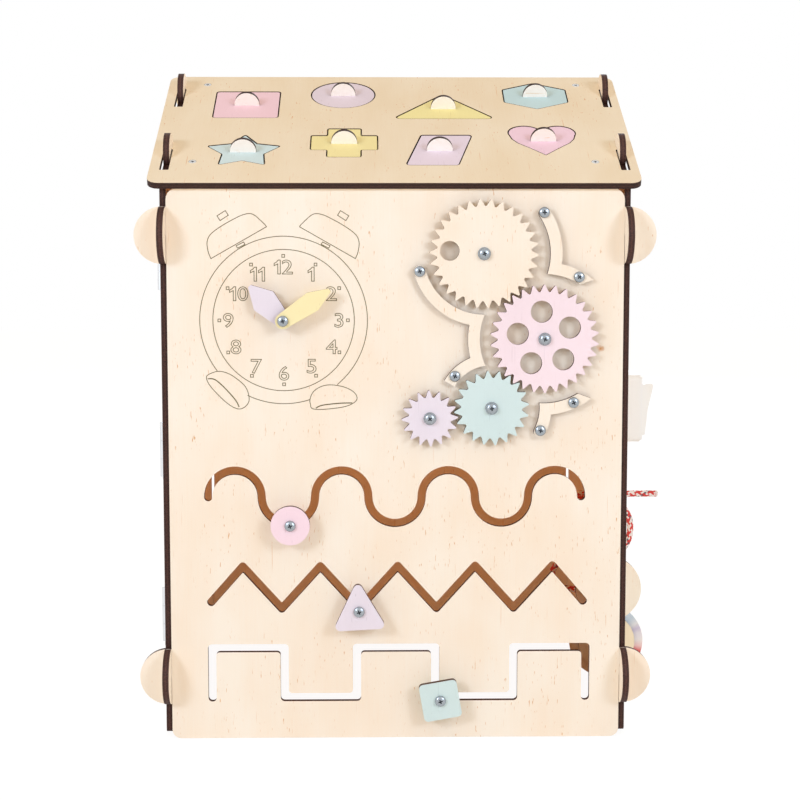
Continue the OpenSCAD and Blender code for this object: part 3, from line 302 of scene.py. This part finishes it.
def coloured_strands(strand, few, many):
    """Mask of the last few of each so many strands of one hand."""
    place = braid_math("FLOORED_MODULO", strand, many)
    return braid_math("GREATER_THAN", place, many - few - 0.5)


left_strand = strand_number("ADD")
right_strand = strand_number("SUBTRACT")
over = braid_math("FLOORED_MODULO", braid_math("ADD", left_strand, right_strand), 2)
left_red = coloured_strands(left_strand, few=2, many=4)
right_red = coloured_strands(right_strand, few=2, many=4)
tracer_every = 8
tracer = braid_math("LESS_THAN", braid_math("FLOORED_MODULO", left_strand, tracer_every), 0.5)
cord_white = srgb(250, 244, 242)
cord_red = srgb(222, 66, 62)
cord_dark = srgb(88, 84, 100)
left_colour = shade(tree, tracer, shade(tree, left_red, cord_white, cord_red), cord_dark)
right_colour = shade(tree, right_red, cord_white, cord_red)
laid = shade(tree, over, left_colour, right_colour)
to_end = braid_math("PINGPONG", along_cord, cord_length / cord_pitch)
at_seal = braid_math("LESS_THAN", to_end, 1.2 * seal_length / cord_pitch)
tree.links.new(shade(tree, at_seal, laid, srgb(244, 238, 236)), braid.inputs["Base Color"])
fibres = add_node(tree, "TexNoise", None, fibre_scale)
bumped(tree, braid, fibres, strength=0.4, distance=0.15 * mm)

cord = new_piece("braided_cord", tube, "root", "braid", braid_material)
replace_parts(cord, "lacing_cord")


# ---------------------------------------------------------------- ply house
# Walls, roof boards and tray are laser-cut from 5.5 mm birch ply, sanded and left bare.
# The laser leaves every edge burnt dark brown, with the layers of the ply as faint stripes.

def new_group(name, inputs, outputs):
    """Shader node group with named sockets, what it is given and what it gives."""
    group = bpy.data.node_groups.new(name, "ShaderNodeTree")
    for label in inputs:
        group.interface.new_socket(label, in_out="INPUT", socket_type="NodeSocketVector")
    for label in outputs:
        group.interface.new_socket(label, in_out="OUTPUT", socket_type="NodeSocketFloat")
    given = group.nodes.new("NodeGroupInput").outputs
    gives = group.nodes.new("NodeGroupOutput").inputs
    return group, given, gives


wood_grain, given, gives = new_group("wood_grain", ("Position", "Grain"),
                                     ("Tone", "Flecks", "Height"))
grain_roughness = 0.55
streak_share = 0.2


def grain_vector(operation, a, b):
    return add_node(wood_grain, "VectorMath", a, b, operation=operation)


along_grain = grain_vector("PROJECT", given["Position"], given["Grain"])
across_grain = grain_vector("SUBTRACT", given["Position"], along_grain)


def grain_noise(width, length, detail=2.0):
    """Noise in patches about width across the grain and length along it."""
    wide = grain_vector("MULTIPLY", across_grain, (1 / width,) * 3)
    long = grain_vector("MULTIPLY", along_grain, (1 / length,) * 3)
    both = grain_vector("ADD", wide, long)
    return add_node(wood_grain, "TexNoise", both, 1.0, detail, grain_roughness)


def grain_step(value, low, high):
    """Mask that rises from 0 to 1 as a value goes from low to high."""
    return add_node(wood_grain, "MapRange", value, low, high)


mottle = grain_noise(width=55 * mm, length=120 * mm)
streaks = grain_noise(width=1.4 * mm, length=40 * mm, detail=3)
pale = add_node(wood_grain, "Mix", streak_share, mottle, streaks)
patches = grain_step(grain_noise(width=40 * mm, length=70 * mm), low=0.44, high=0.6)
specks = grain_step(grain_noise(width=1.1 * mm, length=7 * mm, detail=1), low=0.7, high=0.76)
specks = add_node(wood_grain, "Math", specks, patches, operation="MULTIPLY")
pores = grain_step(grain_noise(width=0.9 * mm, length=45 * mm, detail=1), low=0.74, high=0.8)
flecks = add_node(wood_grain, "Math", specks, pores, operation="MAXIMUM")
wood_grain.links.new(grain_step(pale, low=0.36, high=0.64), gives["Tone"])
wood_grain.links.new(flecks, gives["Flecks"])
wood_grain.links.new(streaks, gives["Height"])

burnt_edge, given, gives = new_group("burnt_edge", ("Sheet normal",), ("Edge", "Layer"))
edge_at = burnt_edge.nodes.new("ShaderNodeTexCoord").outputs
most_facing = 0.7
layer_thickness = 1.38 * mm
layer_share = 0.35
soot_share = 1.6
soot_scale = 900
least_char = 0.6
full_char = 1.35


def edge_math(operation, a, b=None):
    return add_node(burnt_edge, "Math", a, b, operation=operation)


def along_normal(vector):
    """How far a vector points along the normal of the ply sheet."""
    return add_node(burnt_edge, "VectorMath", vector, given["Sheet normal"],
                    operation="DOT_PRODUCT")


facing = edge_math("ABSOLUTE", along_normal(edge_at["Normal"]))
burnt_edge.links.new(edge_math("LESS_THAN", facing, most_facing), gives["Edge"])
depth = edge_math("DIVIDE", along_normal(edge_at["Object"]), layer_thickness)
layers = edge_math("PINGPONG", depth, 1.0)
soot = add_node(burnt_edge, "TexNoise", edge_at["Object"], soot_scale, 3, 0.7)
charring = edge_math("ADD", edge_math("MULTIPLY", layers, layer_share),
                     edge_math("MULTIPLY", soot, soot_share))
burnt_edge.links.new(add_node(burnt_edge, "MapRange", charring, least_char, full_char),
                     gives["Layer"])

front_normal = (0, 1, 0)
side_normal = (1, 0, 0)
roof_slope = radians(27.4)
roof_normal = (0, -sin(roof_slope), cos(roof_slope))
back_roof_normal = (0, sin(roof_slope), cos(roof_slope))
upright = (0, 0, 1)
sideways = (1, 0, 0)
up_roof = (0, cos(roof_slope), sin(roof_slope))
up_back_roof = (0, -cos(roof_slope), sin(roof_slope))
deep_burn = ((34, 18, 15), (98, 62, 52))
# Edge colour for the roof boards, tray, grips and puzzle pieces: real laser char, deepened near
# black as painted shade for the dark gaps round the puzzle pieces.
roof_char_and_painted_shade = ((20, 10, 7), (76, 46, 36))
toy_burn = ((46, 24, 15), (104, 66, 46))
sanded_roughness = 0.62
sanded_specular = 0.3
grain_bump = 0.06
grain_height = 0.1 * mm


def object_space(tree):
    return tree.nodes.new("ShaderNodeTexCoord").outputs["Object"]


def placed(tree, group, label, value):
    """Node group placed in a material, with one of its inputs set."""
    node = tree.nodes.new("ShaderNodeGroup")
    node.node_tree = group
    node.inputs[label].default_value = value
    return node


def ply(name, sheet_normal, grain, light, dark, fleck, burn=deep_burn):
    """Sanded or painted birch ply with burnt edges."""
    material, tree, wood = new_material(name)
    figure = placed(tree, wood_grain, "Grain", grain)
    tree.links.new(object_space(tree), figure.inputs["Position"])
    edge = placed(tree, burnt_edge, "Sheet normal", sheet_normal)
    face = shade(tree, figure.outputs["Tone"], srgb(*dark), srgb(*light))
    face = shade(tree, figure.outputs["Flecks"], face, srgb(*fleck))
    charred = shade(tree, edge.outputs["Layer"], srgb(*burn[0]), srgb(*burn[1]))
    tree.links.new(shade(tree, edge.outputs["Edge"], face, charred), wood.inputs["Base Color"])
    wood.inputs["Roughness"].default_value = sanded_roughness
    wood.inputs["Specular IOR Level"].default_value = sanded_specular
    bumped(tree, wood, figure.outputs["Height"], grain_bump, grain_height)
    return material


def dress(material, *names):
    """Give a material to solids of the frame."""
    for name in names:
        nodes[name].material_slots[0].material = material


birch = ((255, 245, 229), (253, 236, 214), (226, 178, 124))
roof_birch = ((252, 238, 212), (247, 229, 198), (228, 168, 108))
panel_birch = ply("panel_birch", front_normal, upright, *birch)
side_birch = ply("side_birch", side_normal, upright, *birch)
dress(panel_birch, "front_panel", "back_panel")
dress(side_birch, "left_wall", "right_wall")
dress(ply("roof_birch", roof_normal, up_roof, *roof_birch, roof_char_and_painted_shade),
      "front_roof", "puzzle_tray")
dress(ply("back_roof_birch", back_roof_normal, up_back_roof, *roof_birch, roof_char_and_painted_shade),
      "back_roof")

# A small knot near the right edge of the front panel fades into the wood round it.
panel_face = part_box("front_panel")[0].y
knot_at = (174.7 * mm, panel_face, 339.2 * mm)
knot_radius = 2.6 * mm
knot_fade = 2.4 * knot_radius
knot_ripple = 260
knot_heart = (226, 160, 96)
tree = panel_birch.node_tree
base = tree.nodes["Principled BSDF"].inputs["Base Color"]
position = object_space(tree)
away = add_node(tree, "VectorMath", position, knot_at, operation="DISTANCE")
wobble = add_node(tree, "Math", add_node(tree, "TexNoise", position, knot_ripple, 2),
                  2 * knot_radius, operation="MULTIPLY")
from_heart = add_node(tree, "Math", away, wobble, operation="ADD")
knot = add_node(tree, "MapRange", from_heart, knot_fade, knot_radius)
tree.links.new(shade(tree, knot, base.links[0].from_socket, srgb(*knot_heart)), base)


# ---------------------------------------------------------------- engraved alarm clock
# A line drawing of an alarm clock, cut into the front panel by a low laser pass: its case,
# dial, two bells, two feet, a square mark at each hour and outlined numerals. Its points are
# in millimetres from the bolt that carries the hands.

clock_low, clock_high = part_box("clock_bolt")
clock_x = (clock_low.x + clock_high.x) / 2
clock_z = (clock_low.z + clock_high.z) / 2
line_width = 0.62
line_depth = 0.05 * mm
least_mitre = 0.5
hairpin = 0.01


def engrave(form, points, closed=True, width=line_width):
    """Thin flat strip along points on the front panel."""
    points = [Vector(p).to_2d() for p in points]
    count = len(points)
    sections = []
    for i, point in enumerate(points):
        before = points[i - 1] if i or closed else point
        after = points[(i + 1) % count] if i < count - 1 or closed else point
        a = (point - before).normalized()
        b = (after - point).normalized()
        along = (a + b).normalized() if (a + b).length > hairpin else Vector((-b.y, b.x))
        across = Vector((-along.y, along.x)) * width / 2
        if a.length and b.length:
            across /= max(least_mitre, abs(along.dot(b)))
        left, right = point + across, point - across
        section = []
        for side, y in ((left, -line_depth), (right, -line_depth),
                        (right, line_depth), (left, line_depth)):
            at = (clock_x + side.x * mm, panel_face + y, clock_z + side.y * mm)
            section.append(form.verts.new(at))
        sections.append(section)
    for i in range(count if closed else count - 1):
        new_band(form, sections[i], sections[(i + 1) % count])
    if not closed:
        form.faces.new(list(reversed(sections[0])))
        form.faces.new(sections[-1])


def arc(r, start, end, steps):
    """Points round the clock's middle, with angles in degrees from +X."""
    turns = [radians(start + (end - start) * i / steps) for i in range(steps + 1)]
    return [(r * cos(t), r * sin(t)) for t in turns]


lines = bmesh.new()
case_r = 71.2
dial_r = 60.05
engrave(lines, arc(dial_r, 0, 360, 120)[:-1])
for start, end, steps in ((-116, -71.8, 22), (-50.4, 217.1, 120)):
    engrave(lines, arc(case_r, start, end, steps), closed=False)

curve_step = 1.5
bell = [(-61.1, 52.3), (-63, 56.8), (-64.1, 61.9), (-64.2, 66.6), (-62.4, 71.3), (-57.9, 75.7),
        (-49.4, 81.3), (-40, 86.4), (-34.3, 89), (-28.5, 90.2), (-23.6, 88.6), (-15.2, 80.9),
        (-14, 79.1)]
bell_knob = [(-55.6, 88.3), (-48.6, 92.7), (-46.1, 88.8), (-53.1, 84.3)]
bell_link = [(-39.7, 63.1), (-33.4, 66.3), (-32.2, 64.3), (-38.5, 61.1)]
for outline in (smooth_path(bell, curve_step), bell_knob, bell_link):
    engrave(lines, outline)
    engrave(lines, [(-x, z) for x, z in outline])

left_foot = [(-57, -43.5), (-64.5, -46.3), (-66, -49.3), (-62.6, -56.3), (-51.5, -68.2),
             (-42.7, -74.5), (-36.5, -75.5), (-31.2, -71.5), (-29.9, -65.7), (-33.1, -56.4),
             (-42.5, -48.1), (-50, -44.3)]
right_foot = [(22, -67.6), (25.1, -60.8), (32.6, -56.2), (41.4, -55.2), (52.7, -57.5),
              (60.2, -62.1), (62.2, -67.1), (58.9, -70.9), (50.1, -74.2), (32.5, -76.2),
              (23.7, -75.4), (22.5, -72.1)]
left_sole = [(-65, -49.8), (-58.8, -50.5), (-50.1, -58.1), (-41.4, -68.2), (-38.5, -74)]
right_sole = [(27, -75.1), (32.6, -72.6), (47.6, -70.9), (58.2, -70.7)]
sole_width = 0.9
for foot, sole in ((left_foot, left_sole), (right_foot, right_sole)):
    engrave(lines, smooth_path(foot, curve_step, closed=True))
    engrave(lines, smooth_path(sole, curve_step), closed=False, width=sole_width)


def at_hour(hour, across, up):
    """Point at an hour on a ring that reaches so far across and so far up."""
    turn = radians(30 * hour)
    return across * sin(turn), up * cos(turn)


mark_at = 54.6
mark_half = 1.15
for hour in range(12):
    x, z = at_hour(hour, mark_at, mark_at)
    engrave(lines, [(x - mark_half, z - mark_half), (x + mark_half, z - mark_half),
                    (x + mark_half, z + mark_half), (x - mark_half, z + mark_half)])

numeral_across = 47
numeral_up = 45.2
pair_inwards = 0.93
numeral_height = 11.8
digit_widening = 1.17
digit_gap = 0.14
plain_one = [(0.3, 1), (0.44, 1), (0.44, 0), (0.26, 0), (0.26, 0.72), (0, 0.6), (0, 0.76),
             (0.18, 0.86)]


def digit_outlines(digit):
    """Outlines of a bold digit that is one high, with its lower left corner at zero."""
    if digit == "1":
        return [[Vector(p) for p in plain_one]]
    text = bpy.data.curves.new("digit", "FONT")
    text.body = digit
    text.fill_mode = "NONE"
    text.resolution_u = 4
    text.offset = 0.045
    holder = bpy.data.objects.new("digit", text)
    shape = bmesh.new()
    shape.from_mesh(holder.to_mesh())
    outlines = []
    left = set(shape.verts)
    for first in shape.verts:
        if first not in left:
            continue
        left.discard(first)
        outline = [first]
        while outline:
            onward = [e.other_vert(outline[-1]) for e in outline[-1].link_edges]
            onward = [v for v in onward if v in left]
            if not onward:
                break
            outline.append(onward[0])
            left.discard(onward[0])
        outlines.append([v.co.to_2d() for v in outline])
    shape.free()
    holder.to_mesh_clear()
    bpy.data.objects.remove(holder)
    points = [p for outline in outlines for p in outline]
    corner = Vector((min(p.x for p in points), min(p.y for p in points)))
    height = max(p.y for p in points) - corner.y
    grow = Vector((digit_widening / height, 1 / height))
    return [[(p - corner) * grow for p in outline] for outline in outlines]


for hour in range(1, 13):
    digits = [digit_outlines(digit) for digit in str(hour)]
    widths = [max(p.x for outline in outlines for p in outline) for outlines in digits]
    inwards = pair_inwards if len(digits) > 1 else 1
    middle = Vector(at_hour(hour, numeral_across * inwards, numeral_up))
    reach = -(sum(widths) + digit_gap * (len(digits) - 1)) / 2
    for outlines, width in zip(digits, widths):
        corner = Vector((reach, -0.5))
        for outline in outlines:
            engrave(lines, [middle + numeral_height * (p + corner) for p in outline])
        reach += width + digit_gap

bmesh.ops.recalc_face_normals(lines, faces=lines.faces)
light_scorch = srgb(108, 96, 38)
dark_scorch = srgb(70, 62, 18)
scorch_scale = 400
engraving, tree, scorch = new_material("engraving")
scorch.inputs["Roughness"].default_value = 0.8
scorch_spots = add_node(tree, "TexNoise", object_space(tree), scorch_scale)
tree.links.new(shade(tree, scorch_spots, light_scorch, dark_scorch), scorch.inputs["Base Color"])
new_piece("clock_lines", lines, "root", "ply", engraving)


# ---------------------------------------------------------------- painted toys
# Hands, gears, maze knobs and puzzle pieces are the same ply with a matt pastel water paint
# on their faces, so thin that the grain shows through, and their burnt edges are bare. The
# upper gear, the gear guards and the puzzle's half-round grips have no paint.

paint_lightens = 2
paint_darkens = 3
flecks_darken = 22


def painted(name, colour, sheet_normal, grain, burn=deep_burn):
    """Ply under a thin coat of paint, which is deeper where the wood takes more of it."""
    light = tuple(min(255, c + paint_lightens) for c in colour)
    dark = tuple(c - paint_darkens for c in colour)
    fleck = tuple(c - flecks_darken for c in colour)
    return ply(name, sheet_normal, grain, light, dark, fleck, burn)


front_paints = {
    "pink": ((253, 226, 236), ("round_knob",)),
    "lilac": ((251, 231, 237), ("right_gear",)),
    "turquoise": ((215, 235, 234), ("lower_gear", "square_knob")),
    "lavender": ((238, 229, 239), ("small_gear", "triangle_knob", "hour_hand")),
    "yellow": ((252, 238, 184), ("minute_hand",))}
for name, (colour, toys) in front_paints.items():
    dress(painted(name + "_paint", colour, front_normal, upright, toy_burn), *toys)

dress(ply("toy_birch", front_normal, upright, *birch, toy_burn), "upper_gear", "left_guard",
      "upper_right_guard", "lower_right_guard")

puzzle_paints = {
    "square": (255, 219, 230), "circle": (238, 225, 237), "triangle": (255, 243, 174),
    "hexagon": (206, 234, 239), "star": (218, 239, 242), "plus": (255, 241, 176),
    "slant": (241, 227, 242), "heart": (252, 219, 236)}
grip_tones = ((255, 252, 246), (255, 246, 238), (232, 200, 160))
grip_birch = ply("grip_birch", up_roof, sideways, *grip_tones, roof_char_and_painted_shade)
for name, colour in puzzle_paints.items():
    dress(painted(name + "_paint", colour, roof_normal, up_roof, roof_char_and_painted_shade), name + "_piece")
    dress(grip_birch, name + "_grip")


# ---------------------------------------------------------------- bolts and screws
# Zinc-plated M5 pan head bolts and small bright wood screws, with cross recesses, and plain
# washers, tube spacers and hexagon nuts. Each one is made where its solid is in the frame.

def uneven_gloss(tree, shader, spots, smooth, rough):
    """Roughness that wanders between smooth and rough with a noise."""
    low, high = 0.3, 0.7
    tree.links.new(add_node(tree, "MapRange", spots, low, high, smooth, rough),
                   shader.inputs["Roughness"])


def metal(name, colour, smooth, rough, noise):
    """Plated or brushed metal; noise is how finely its gloss varies along X, Y and Z."""
    material, tree, plating = new_material(name)
    plating.inputs["Metallic"].default_value = 1.0
    plating.inputs["Base Color"].default_value = srgb(*colour)
    stretched = add_node(tree, "VectorMath", object_space(tree), noise, operation="MULTIPLY")
    uneven_gloss(tree, plating, add_node(tree, "TexNoise", stretched, 1.0), smooth, rough)
    return material


plating_noise = (900, 900, 900)
zinc = metal("zinc", (164, 170, 175), smooth=0.2, rough=0.34, noise=plating_noise)
bright_steel = metal("bright_steel", (214, 212, 208), smooth=0.28, rough=0.42,
                     noise=plating_noise)
recess_shadow = metal("recess_shadow", (80, 84, 90), smooth=0.35, rough=0.5,
                      noise=plating_noise)
same_place = 1e-6


def solids_of(name):
    """Points of each separate solid of a node."""
    form = bmesh.new()
    form.from_mesh(nodes[name].data)
    bmesh.ops.remove_doubles(form, verts=form.verts, dist=same_place)
    left = set(form.verts)
    solids = []
    for first in form.verts:
        if first not in left:
            continue
        left.discard(first)
        stack = [first]
        solid = []
        while stack:
            vert = stack.pop()
            solid.append(vert.co.copy())
            for e in vert.link_edges:
                other = e.other_vert(vert)
                if other in left:
                    left.discard(other)
                    stack.append(other)
        solids.append(solid)
    form.free()
    return solids


def facing(axis):
    """Turn that brings +Z onto an axis."""
    return axis.to_track_quat("Z", "X").to_matrix().to_4x4()


def stance(solid, axis):
    """Place of a turned solid, from its foot with +Z along its axis, its length and reach."""
    heights = [p.dot(axis) for p in solid]
    flat = [p - p.dot(axis) * axis for p in solid]
    centre = sum(flat, Vector()) / len(flat)
    place = Matrix.Translation(centre + min(heights) * axis) @ facing(axis)
    return place, max(heights) - min(heights), max((p - centre).length for p in flat)


def new_ring(form, place, radii, h):
    """Ring of points about Z at a height, one for each radius, put in place."""
    turns = [2 * pi * k / len(radii) for k in range(len(radii))]
    return [form.verts.new(place @ Vector((r * cos(t), r * sin(t), h)))
            for r, t in zip(radii, turns)]


def turned(form, profile, place, steps=40):
    """Closed body turned about Z from (radius, height) points, put in place."""
    rings = [new_ring(form, place, [r] * (steps if r else 1), h) for r, h in profile]
    for low, high in zip(rings, rings[1:]):
        new_band(form, low, high)


cutter_above = 0.5 * mm
cutter_foot_span = 0.35
cutter_foot_width = 0.8
box_faces = ((0, 1, 2, 3), (7, 6, 5, 4), (0, 4, 5, 1), (1, 5, 6, 2), (2, 6, 7, 3), (3, 7, 4, 0))


def recess_cutter(form, span, width, depth, top):
    """Two crossed tapered blades, with their wide ends above the top of a head."""
    blade = [(-span, -width), (span, -width), (span, width), (-span, width)]
    upper = [(x, y, top + cutter_above) for x, y in blade]
    lower = [(cutter_foot_span * x, cutter_foot_width * y, top - depth) for x, y in blade]
    for turn in (0, pi / 2):
        across = Matrix.Rotation(turn, 4, "Z")
        verts = [form.verts.new(across @ Vector(p)) for p in upper + lower]
        for corners in box_faces:
            form.faces.new([verts[c] for c in corners]).material_index = 1


def crossed_head(profile, span, width, depth):
    """Mesh of a turned body with a cross recess cut into its top."""
    pair = []
    for part in ("head", "cutter"):
        form = bmesh.new()
        if part == "head":
            turned(form, profile, Matrix.Identity(4))
        else:
            recess_cutter(form, span, width, depth, profile[-1][1])
        bmesh.ops.recalc_face_normals(form, faces=form.faces)
        mesh = bpy.data.meshes.new(part)
        form.to_mesh(mesh)
        form.free()
        mesh.materials.append(zinc)
        mesh.materials.append(recess_shadow)
        holder = bpy.data.objects.new(part, mesh)
        bpy.context.scene.collection.objects.link(holder)
        pair.append(holder)
    cut = pair[0].modifiers.new("cut", "BOOLEAN")
    cut.operation = "DIFFERENCE"
    cut.use_self = True
    cut.object = pair[1]
    bpy.context.view_layer.update()
    seen = pair[0].evaluated_get(bpy.context.evaluated_depsgraph_get())
    result = bpy.data.meshes.new_from_object(seen)
    for holder in pair:
        bpy.data.objects.remove(holder)
    return result


bolt_head_r = 4.7 * mm
bolt_head_h = 3.2 * mm
bolt_r = 2.5 * mm
screw_r = 1.7 * mm
screw_head_h = 2.6 * mm
flat_head_r = 3.3 * mm


def pan_head(r, seat, top, straight):
    """Outline of a pan head from the edge of its seat to its top."""
    crown = top - seat - straight
    bends = [radians(angle) for angle in (18, 36, 54, 72)]
    return ([(r * 0.97, seat), (r, seat + 0.3 * mm), (r, seat + straight)]
            + [(r * cos(a), seat + straight + crown * sin(a)) for a in bends] + [(0, top)])


def bolt(length):
    """Pan head bolt with its tip at the origin and its head along +Z."""
    seat = length - bolt_head_h
    shank = [(0, 0), (bolt_r * 0.8, 0), (bolt_r, 0.6 * mm), (bolt_r, seat)]
    head = pan_head(bolt_head_r, seat, length, straight=1.2 * mm)
    return crossed_head(shank + head, span=2.3 * mm, width=0.55 * mm, depth=1.9 * mm)


def flat_screw(length):
    """Countersunk wood screw with its tip at the origin and its head along +Z."""
    profile = [(0, 0), (screw_r, 0), (screw_r, length - 3 * mm), (flat_head_r, length - 1 * mm),
               (flat_head_r, length - 0.1 * mm), (flat_head_r - 0.1 * mm, length), (0, length)]
    return crossed_head(profile, span=1.9 * mm, width=0.45 * mm, depth=1.5 * mm)


def pan_screw(length):
    """Pan head wood screw with its tip at the origin and its head along +Z."""
    seat = length - screw_head_h
    shank = [(0, 0), (screw_r, 0), (screw_r, seat)]
    head = pan_head(bolt_head_r, seat, length, straight=1 * mm)
    return crossed_head(shank + head, span=2.1 * mm, width=0.5 * mm, depth=1.6 * mm)


bore_r = bolt_r + 0.06 * mm


def washer(form, place, length, reach):
    """Washer, bush or tube spacer with its rims broken."""
    rim = min(0.25 * mm, length / 4)
    turned(form, [(bore_r, 0), (reach - rim, 0), (reach, rim), (reach, length - rim),
                  (reach - rim, length), (bore_r, length), (bore_r, 0)], place)


def nut(form, place, height, reach):
    """Hexagon nut with its corners turned down at both ends."""
    steps = 48
    corner_h = 0.5 * mm
    turns = [2 * pi * k / steps for k in range(steps)]
    hexagon = [reach * cos(pi / 6) / cos((t + pi / 6) % (pi / 3) - pi / 6) for t in turns]
    rounded = [min(r, reach * 0.9) for r in hexagon]
    bore = [bore_r] * steps
    outline = ((rounded, 0), (hexagon, corner_h), (hexagon, height - corner_h),
               (rounded, height), (bore, height), (bore, 0))
    rings = [new_ring(form, place, radii, h) for radii, h in outline]
    for low, high in zip(rings, rings[1:] + rings[:1]):
        new_band(form, low, high)


def put(form, mesh, place):
    """Move a mesh to its place and join it to a form."""
    mesh.transform(place)
    form.from_mesh(mesh)
    bpy.data.meshes.remove(mesh)


recess_turns = [radians(a) for a in (20, 65, 5, 40, 80, 30, 55)]


def screwed_in(place, index):
    """Place of a bolt or screw, with its recess turned as it was left."""
    return place @ Matrix.Rotation(recess_turns[index % len(recess_turns)], 4, "Z")


shortest_bolt = 12 * mm
nut_height = 4 * mm
bolted = {"gear_fasteners": ("root", "gear_bolts"), "guard_fasteners": ("root", "guard_bolts"),
          "clock_fastener": ("root", "clock_bolt"), "nuts": ("root", "panel_nuts")}
for shape in ("round", "triangle", "square"):
    bolted[shape + "_slider_fittings"] = (shape + "_slider", shape + "_slider")
for name, (body, node) in bolted.items():
    form = bmesh.new()
    for index, solid in enumerate(solids_of(node)):
        place, length, reach = stance(solid, -Vector(front_normal))
        if length > shortest_bolt:
            put(form, bolt(length), screwed_in(place, index))
        elif abs(length - nut_height) < 0.1 * mm:
            nut(form, place, length, reach)
        else:
            washer(form, place, length, reach)
    bmesh.ops.recalc_face_normals(form, faces=form.faces)
    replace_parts(new_piece(name, form, body, "steel", zinc, recess_shadow, sharp=35), node)
dress(zinc, "gear_bushes")

form = bmesh.new()
latch_screws_x = -190 * mm
leftwards = Vector((-1, 0, 0))
for index, solid in enumerate(solids_of("wood_screws")):
    on_wall = max(p.x for p in solid) < latch_screws_x
    place, length, reach = stance(solid, leftwards if on_wall else Vector(roof_normal))
    screw = pan_screw(length) if on_wall else flat_screw(length)
    put(form, screw, screwed_in(place, index))
screws = new_piece("screws", form, "root", "steel", bright_steel, recess_shadow, sharp=35)
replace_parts(screws, "wood_screws")


# ---------------------------------------------------------------- doors and their hinges
# Three bare ply doors in the left wall, each with a turn button and a pressed steel butt
# hinge, brushed and zinc plated. The countersunk screws in its leaves sit a hair proud.

dress(side_birch, "top_door", "middle_door", "bottom_door",
      "top_latch", "middle_latch", "bottom_latch")
brushed_steel = metal("brushed_steel", (226, 227, 229), smooth=0.25, rough=0.45,
                      noise=(2500, 2500, 60))
dress(brushed_steel, "wall_hinge_leaves", "top_hinge_leaf", "middle_hinge_leaf",
      "bottom_hinge_leaf")

leaf_face = -201.2 * mm
screw_sunk = 0.3 * mm
hinge_y = 26.75 * mm
leaf_screw_from_pin = 10.5 * mm
leaf_screw_spread = 16 * mm
low_head = [(0, -0.6 * mm), (2.6 * mm, -0.6 * mm), (2.6 * mm, 0.1 * mm), (2.3 * mm, 0.45 * mm),
            (1.4 * mm, 0.7 * mm), (0, 0.8 * mm)]
for door in ("top", "middle", "bottom"):
    low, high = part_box(door + "_hinge_leaf")
    middle_z = (low.z + high.z) / 2
    for leaf, side, body in (("wall", -1, "root"), ("door", 1, door + "_door")):
        form = bmesh.new()
        for row in (-1, 1):
            at = (leaf_face + screw_sunk, hinge_y + side * leaf_screw_from_pin,
                  middle_z + row * leaf_screw_spread)
            turn = Matrix.Rotation(row * side + middle_z, 4, "Z")
            head = crossed_head(low_head, span=1.5 * mm, width=0.36 * mm, depth=0.7 * mm)
            put(form, head, Matrix.Translation(at) @ facing(leftwards) @ turn)
        new_piece(door + "_leaf_screws_" + leaf, form, body, "steel", zinc, recess_shadow,
                  sharp=35)


# ---------------------------------------------------------------- switch
# A white light switch on the right wall, moulded in satin plastic, with its rocker a shade
# warmer than the frame.

haze_scale = 60


def moulded(name, colour, node):
    """Satin plastic on a node."""
    material, tree, plastic = new_material(name)
    plastic.inputs["Base Color"].default_value = srgb(*colour)
    haze = add_node(tree, "TexNoise", object_space(tree), haze_scale)
    uneven_gloss(tree, plastic, haze, smooth=0.38, rough=0.46)
    dress(material, node)


moulded("switch_frame", (253, 254, 254), "switch_box")
moulded("switch_key", (255, 255, 253), "switch_rocker")


# ---------------------------------------------------------------- thumb wheels
# Two ply wheels on steel axles that stand out of the right wall. The lower one has a raised
# bare disc, and the rim that sticks out behind the disc is painted in soft bands. The upper
# one is bare.

dress(brushed_steel, "wheel_axles")
wheel_low, wheel_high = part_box("lower_wheel")
wheel_middle = (wheel_low + wheel_high) / 2
disc_r = 26.1 * mm
# Colours round the rim, by the degrees that each lies above the level outwards.
rim_bands = [(-90, (250, 236, 210)), (-40, (222, 80, 78)), (-18, (226, 92, 88)),
             (-9, (250, 216, 218)), (2, (248, 246, 249)), (14, (240, 238, 248)),
             (22, (218, 212, 238)), (30, (240, 244, 251)), (42, (212, 232, 248)),
             (66, (228, 240, 250)), (90, (250, 236, 210))]
wheel_tones = ((255, 252, 240), (255, 244, 226), (226, 186, 138))
dress(ply("wheel_birch", front_normal, upright, *wheel_tones), "upper_wheel")
wheel_paint = painted("wheel_paint", (253, 242, 214), front_normal, upright)
dress(wheel_paint, "lower_wheel")

tree = wheel_paint.node_tree
base = tree.nodes["Principled BSDF"].inputs["Base Color"]
bare = base.links[0].from_socket
from_middle = add_node(tree, "VectorMath", object_space(tree), wheel_middle,
                       operation="SUBTRACT")
across, _, up = split_up(tree, from_middle)
turn = add_node(tree, "Math", up, across, operation="ARCTAN2")
bands = tree.nodes.new("ShaderNodeValToRGB")
tree.links.new(add_node(tree, "MapRange", turn, -pi, pi), bands.inputs["Fac"])
stops = bands.color_ramp.elements
while len(stops) < len(rim_bands):
    stops.new(0.5)
for stop, (angle, colour) in zip(stops, rim_bands):
    stop.position = angle / 360 + 0.5
    stop.color = srgb(*colour)
flat = add_node(tree, "VectorMath", from_middle, (1, 0, 1), operation="MULTIPLY")
from_axle = add_node(tree, "VectorMath", flat, operation="LENGTH")
on_rim = add_node(tree, "Math", from_axle, disc_r, operation="GREATER_THAN")
tree.links.new(shade(tree, on_rim, bare, bands.outputs["Color"]), base)
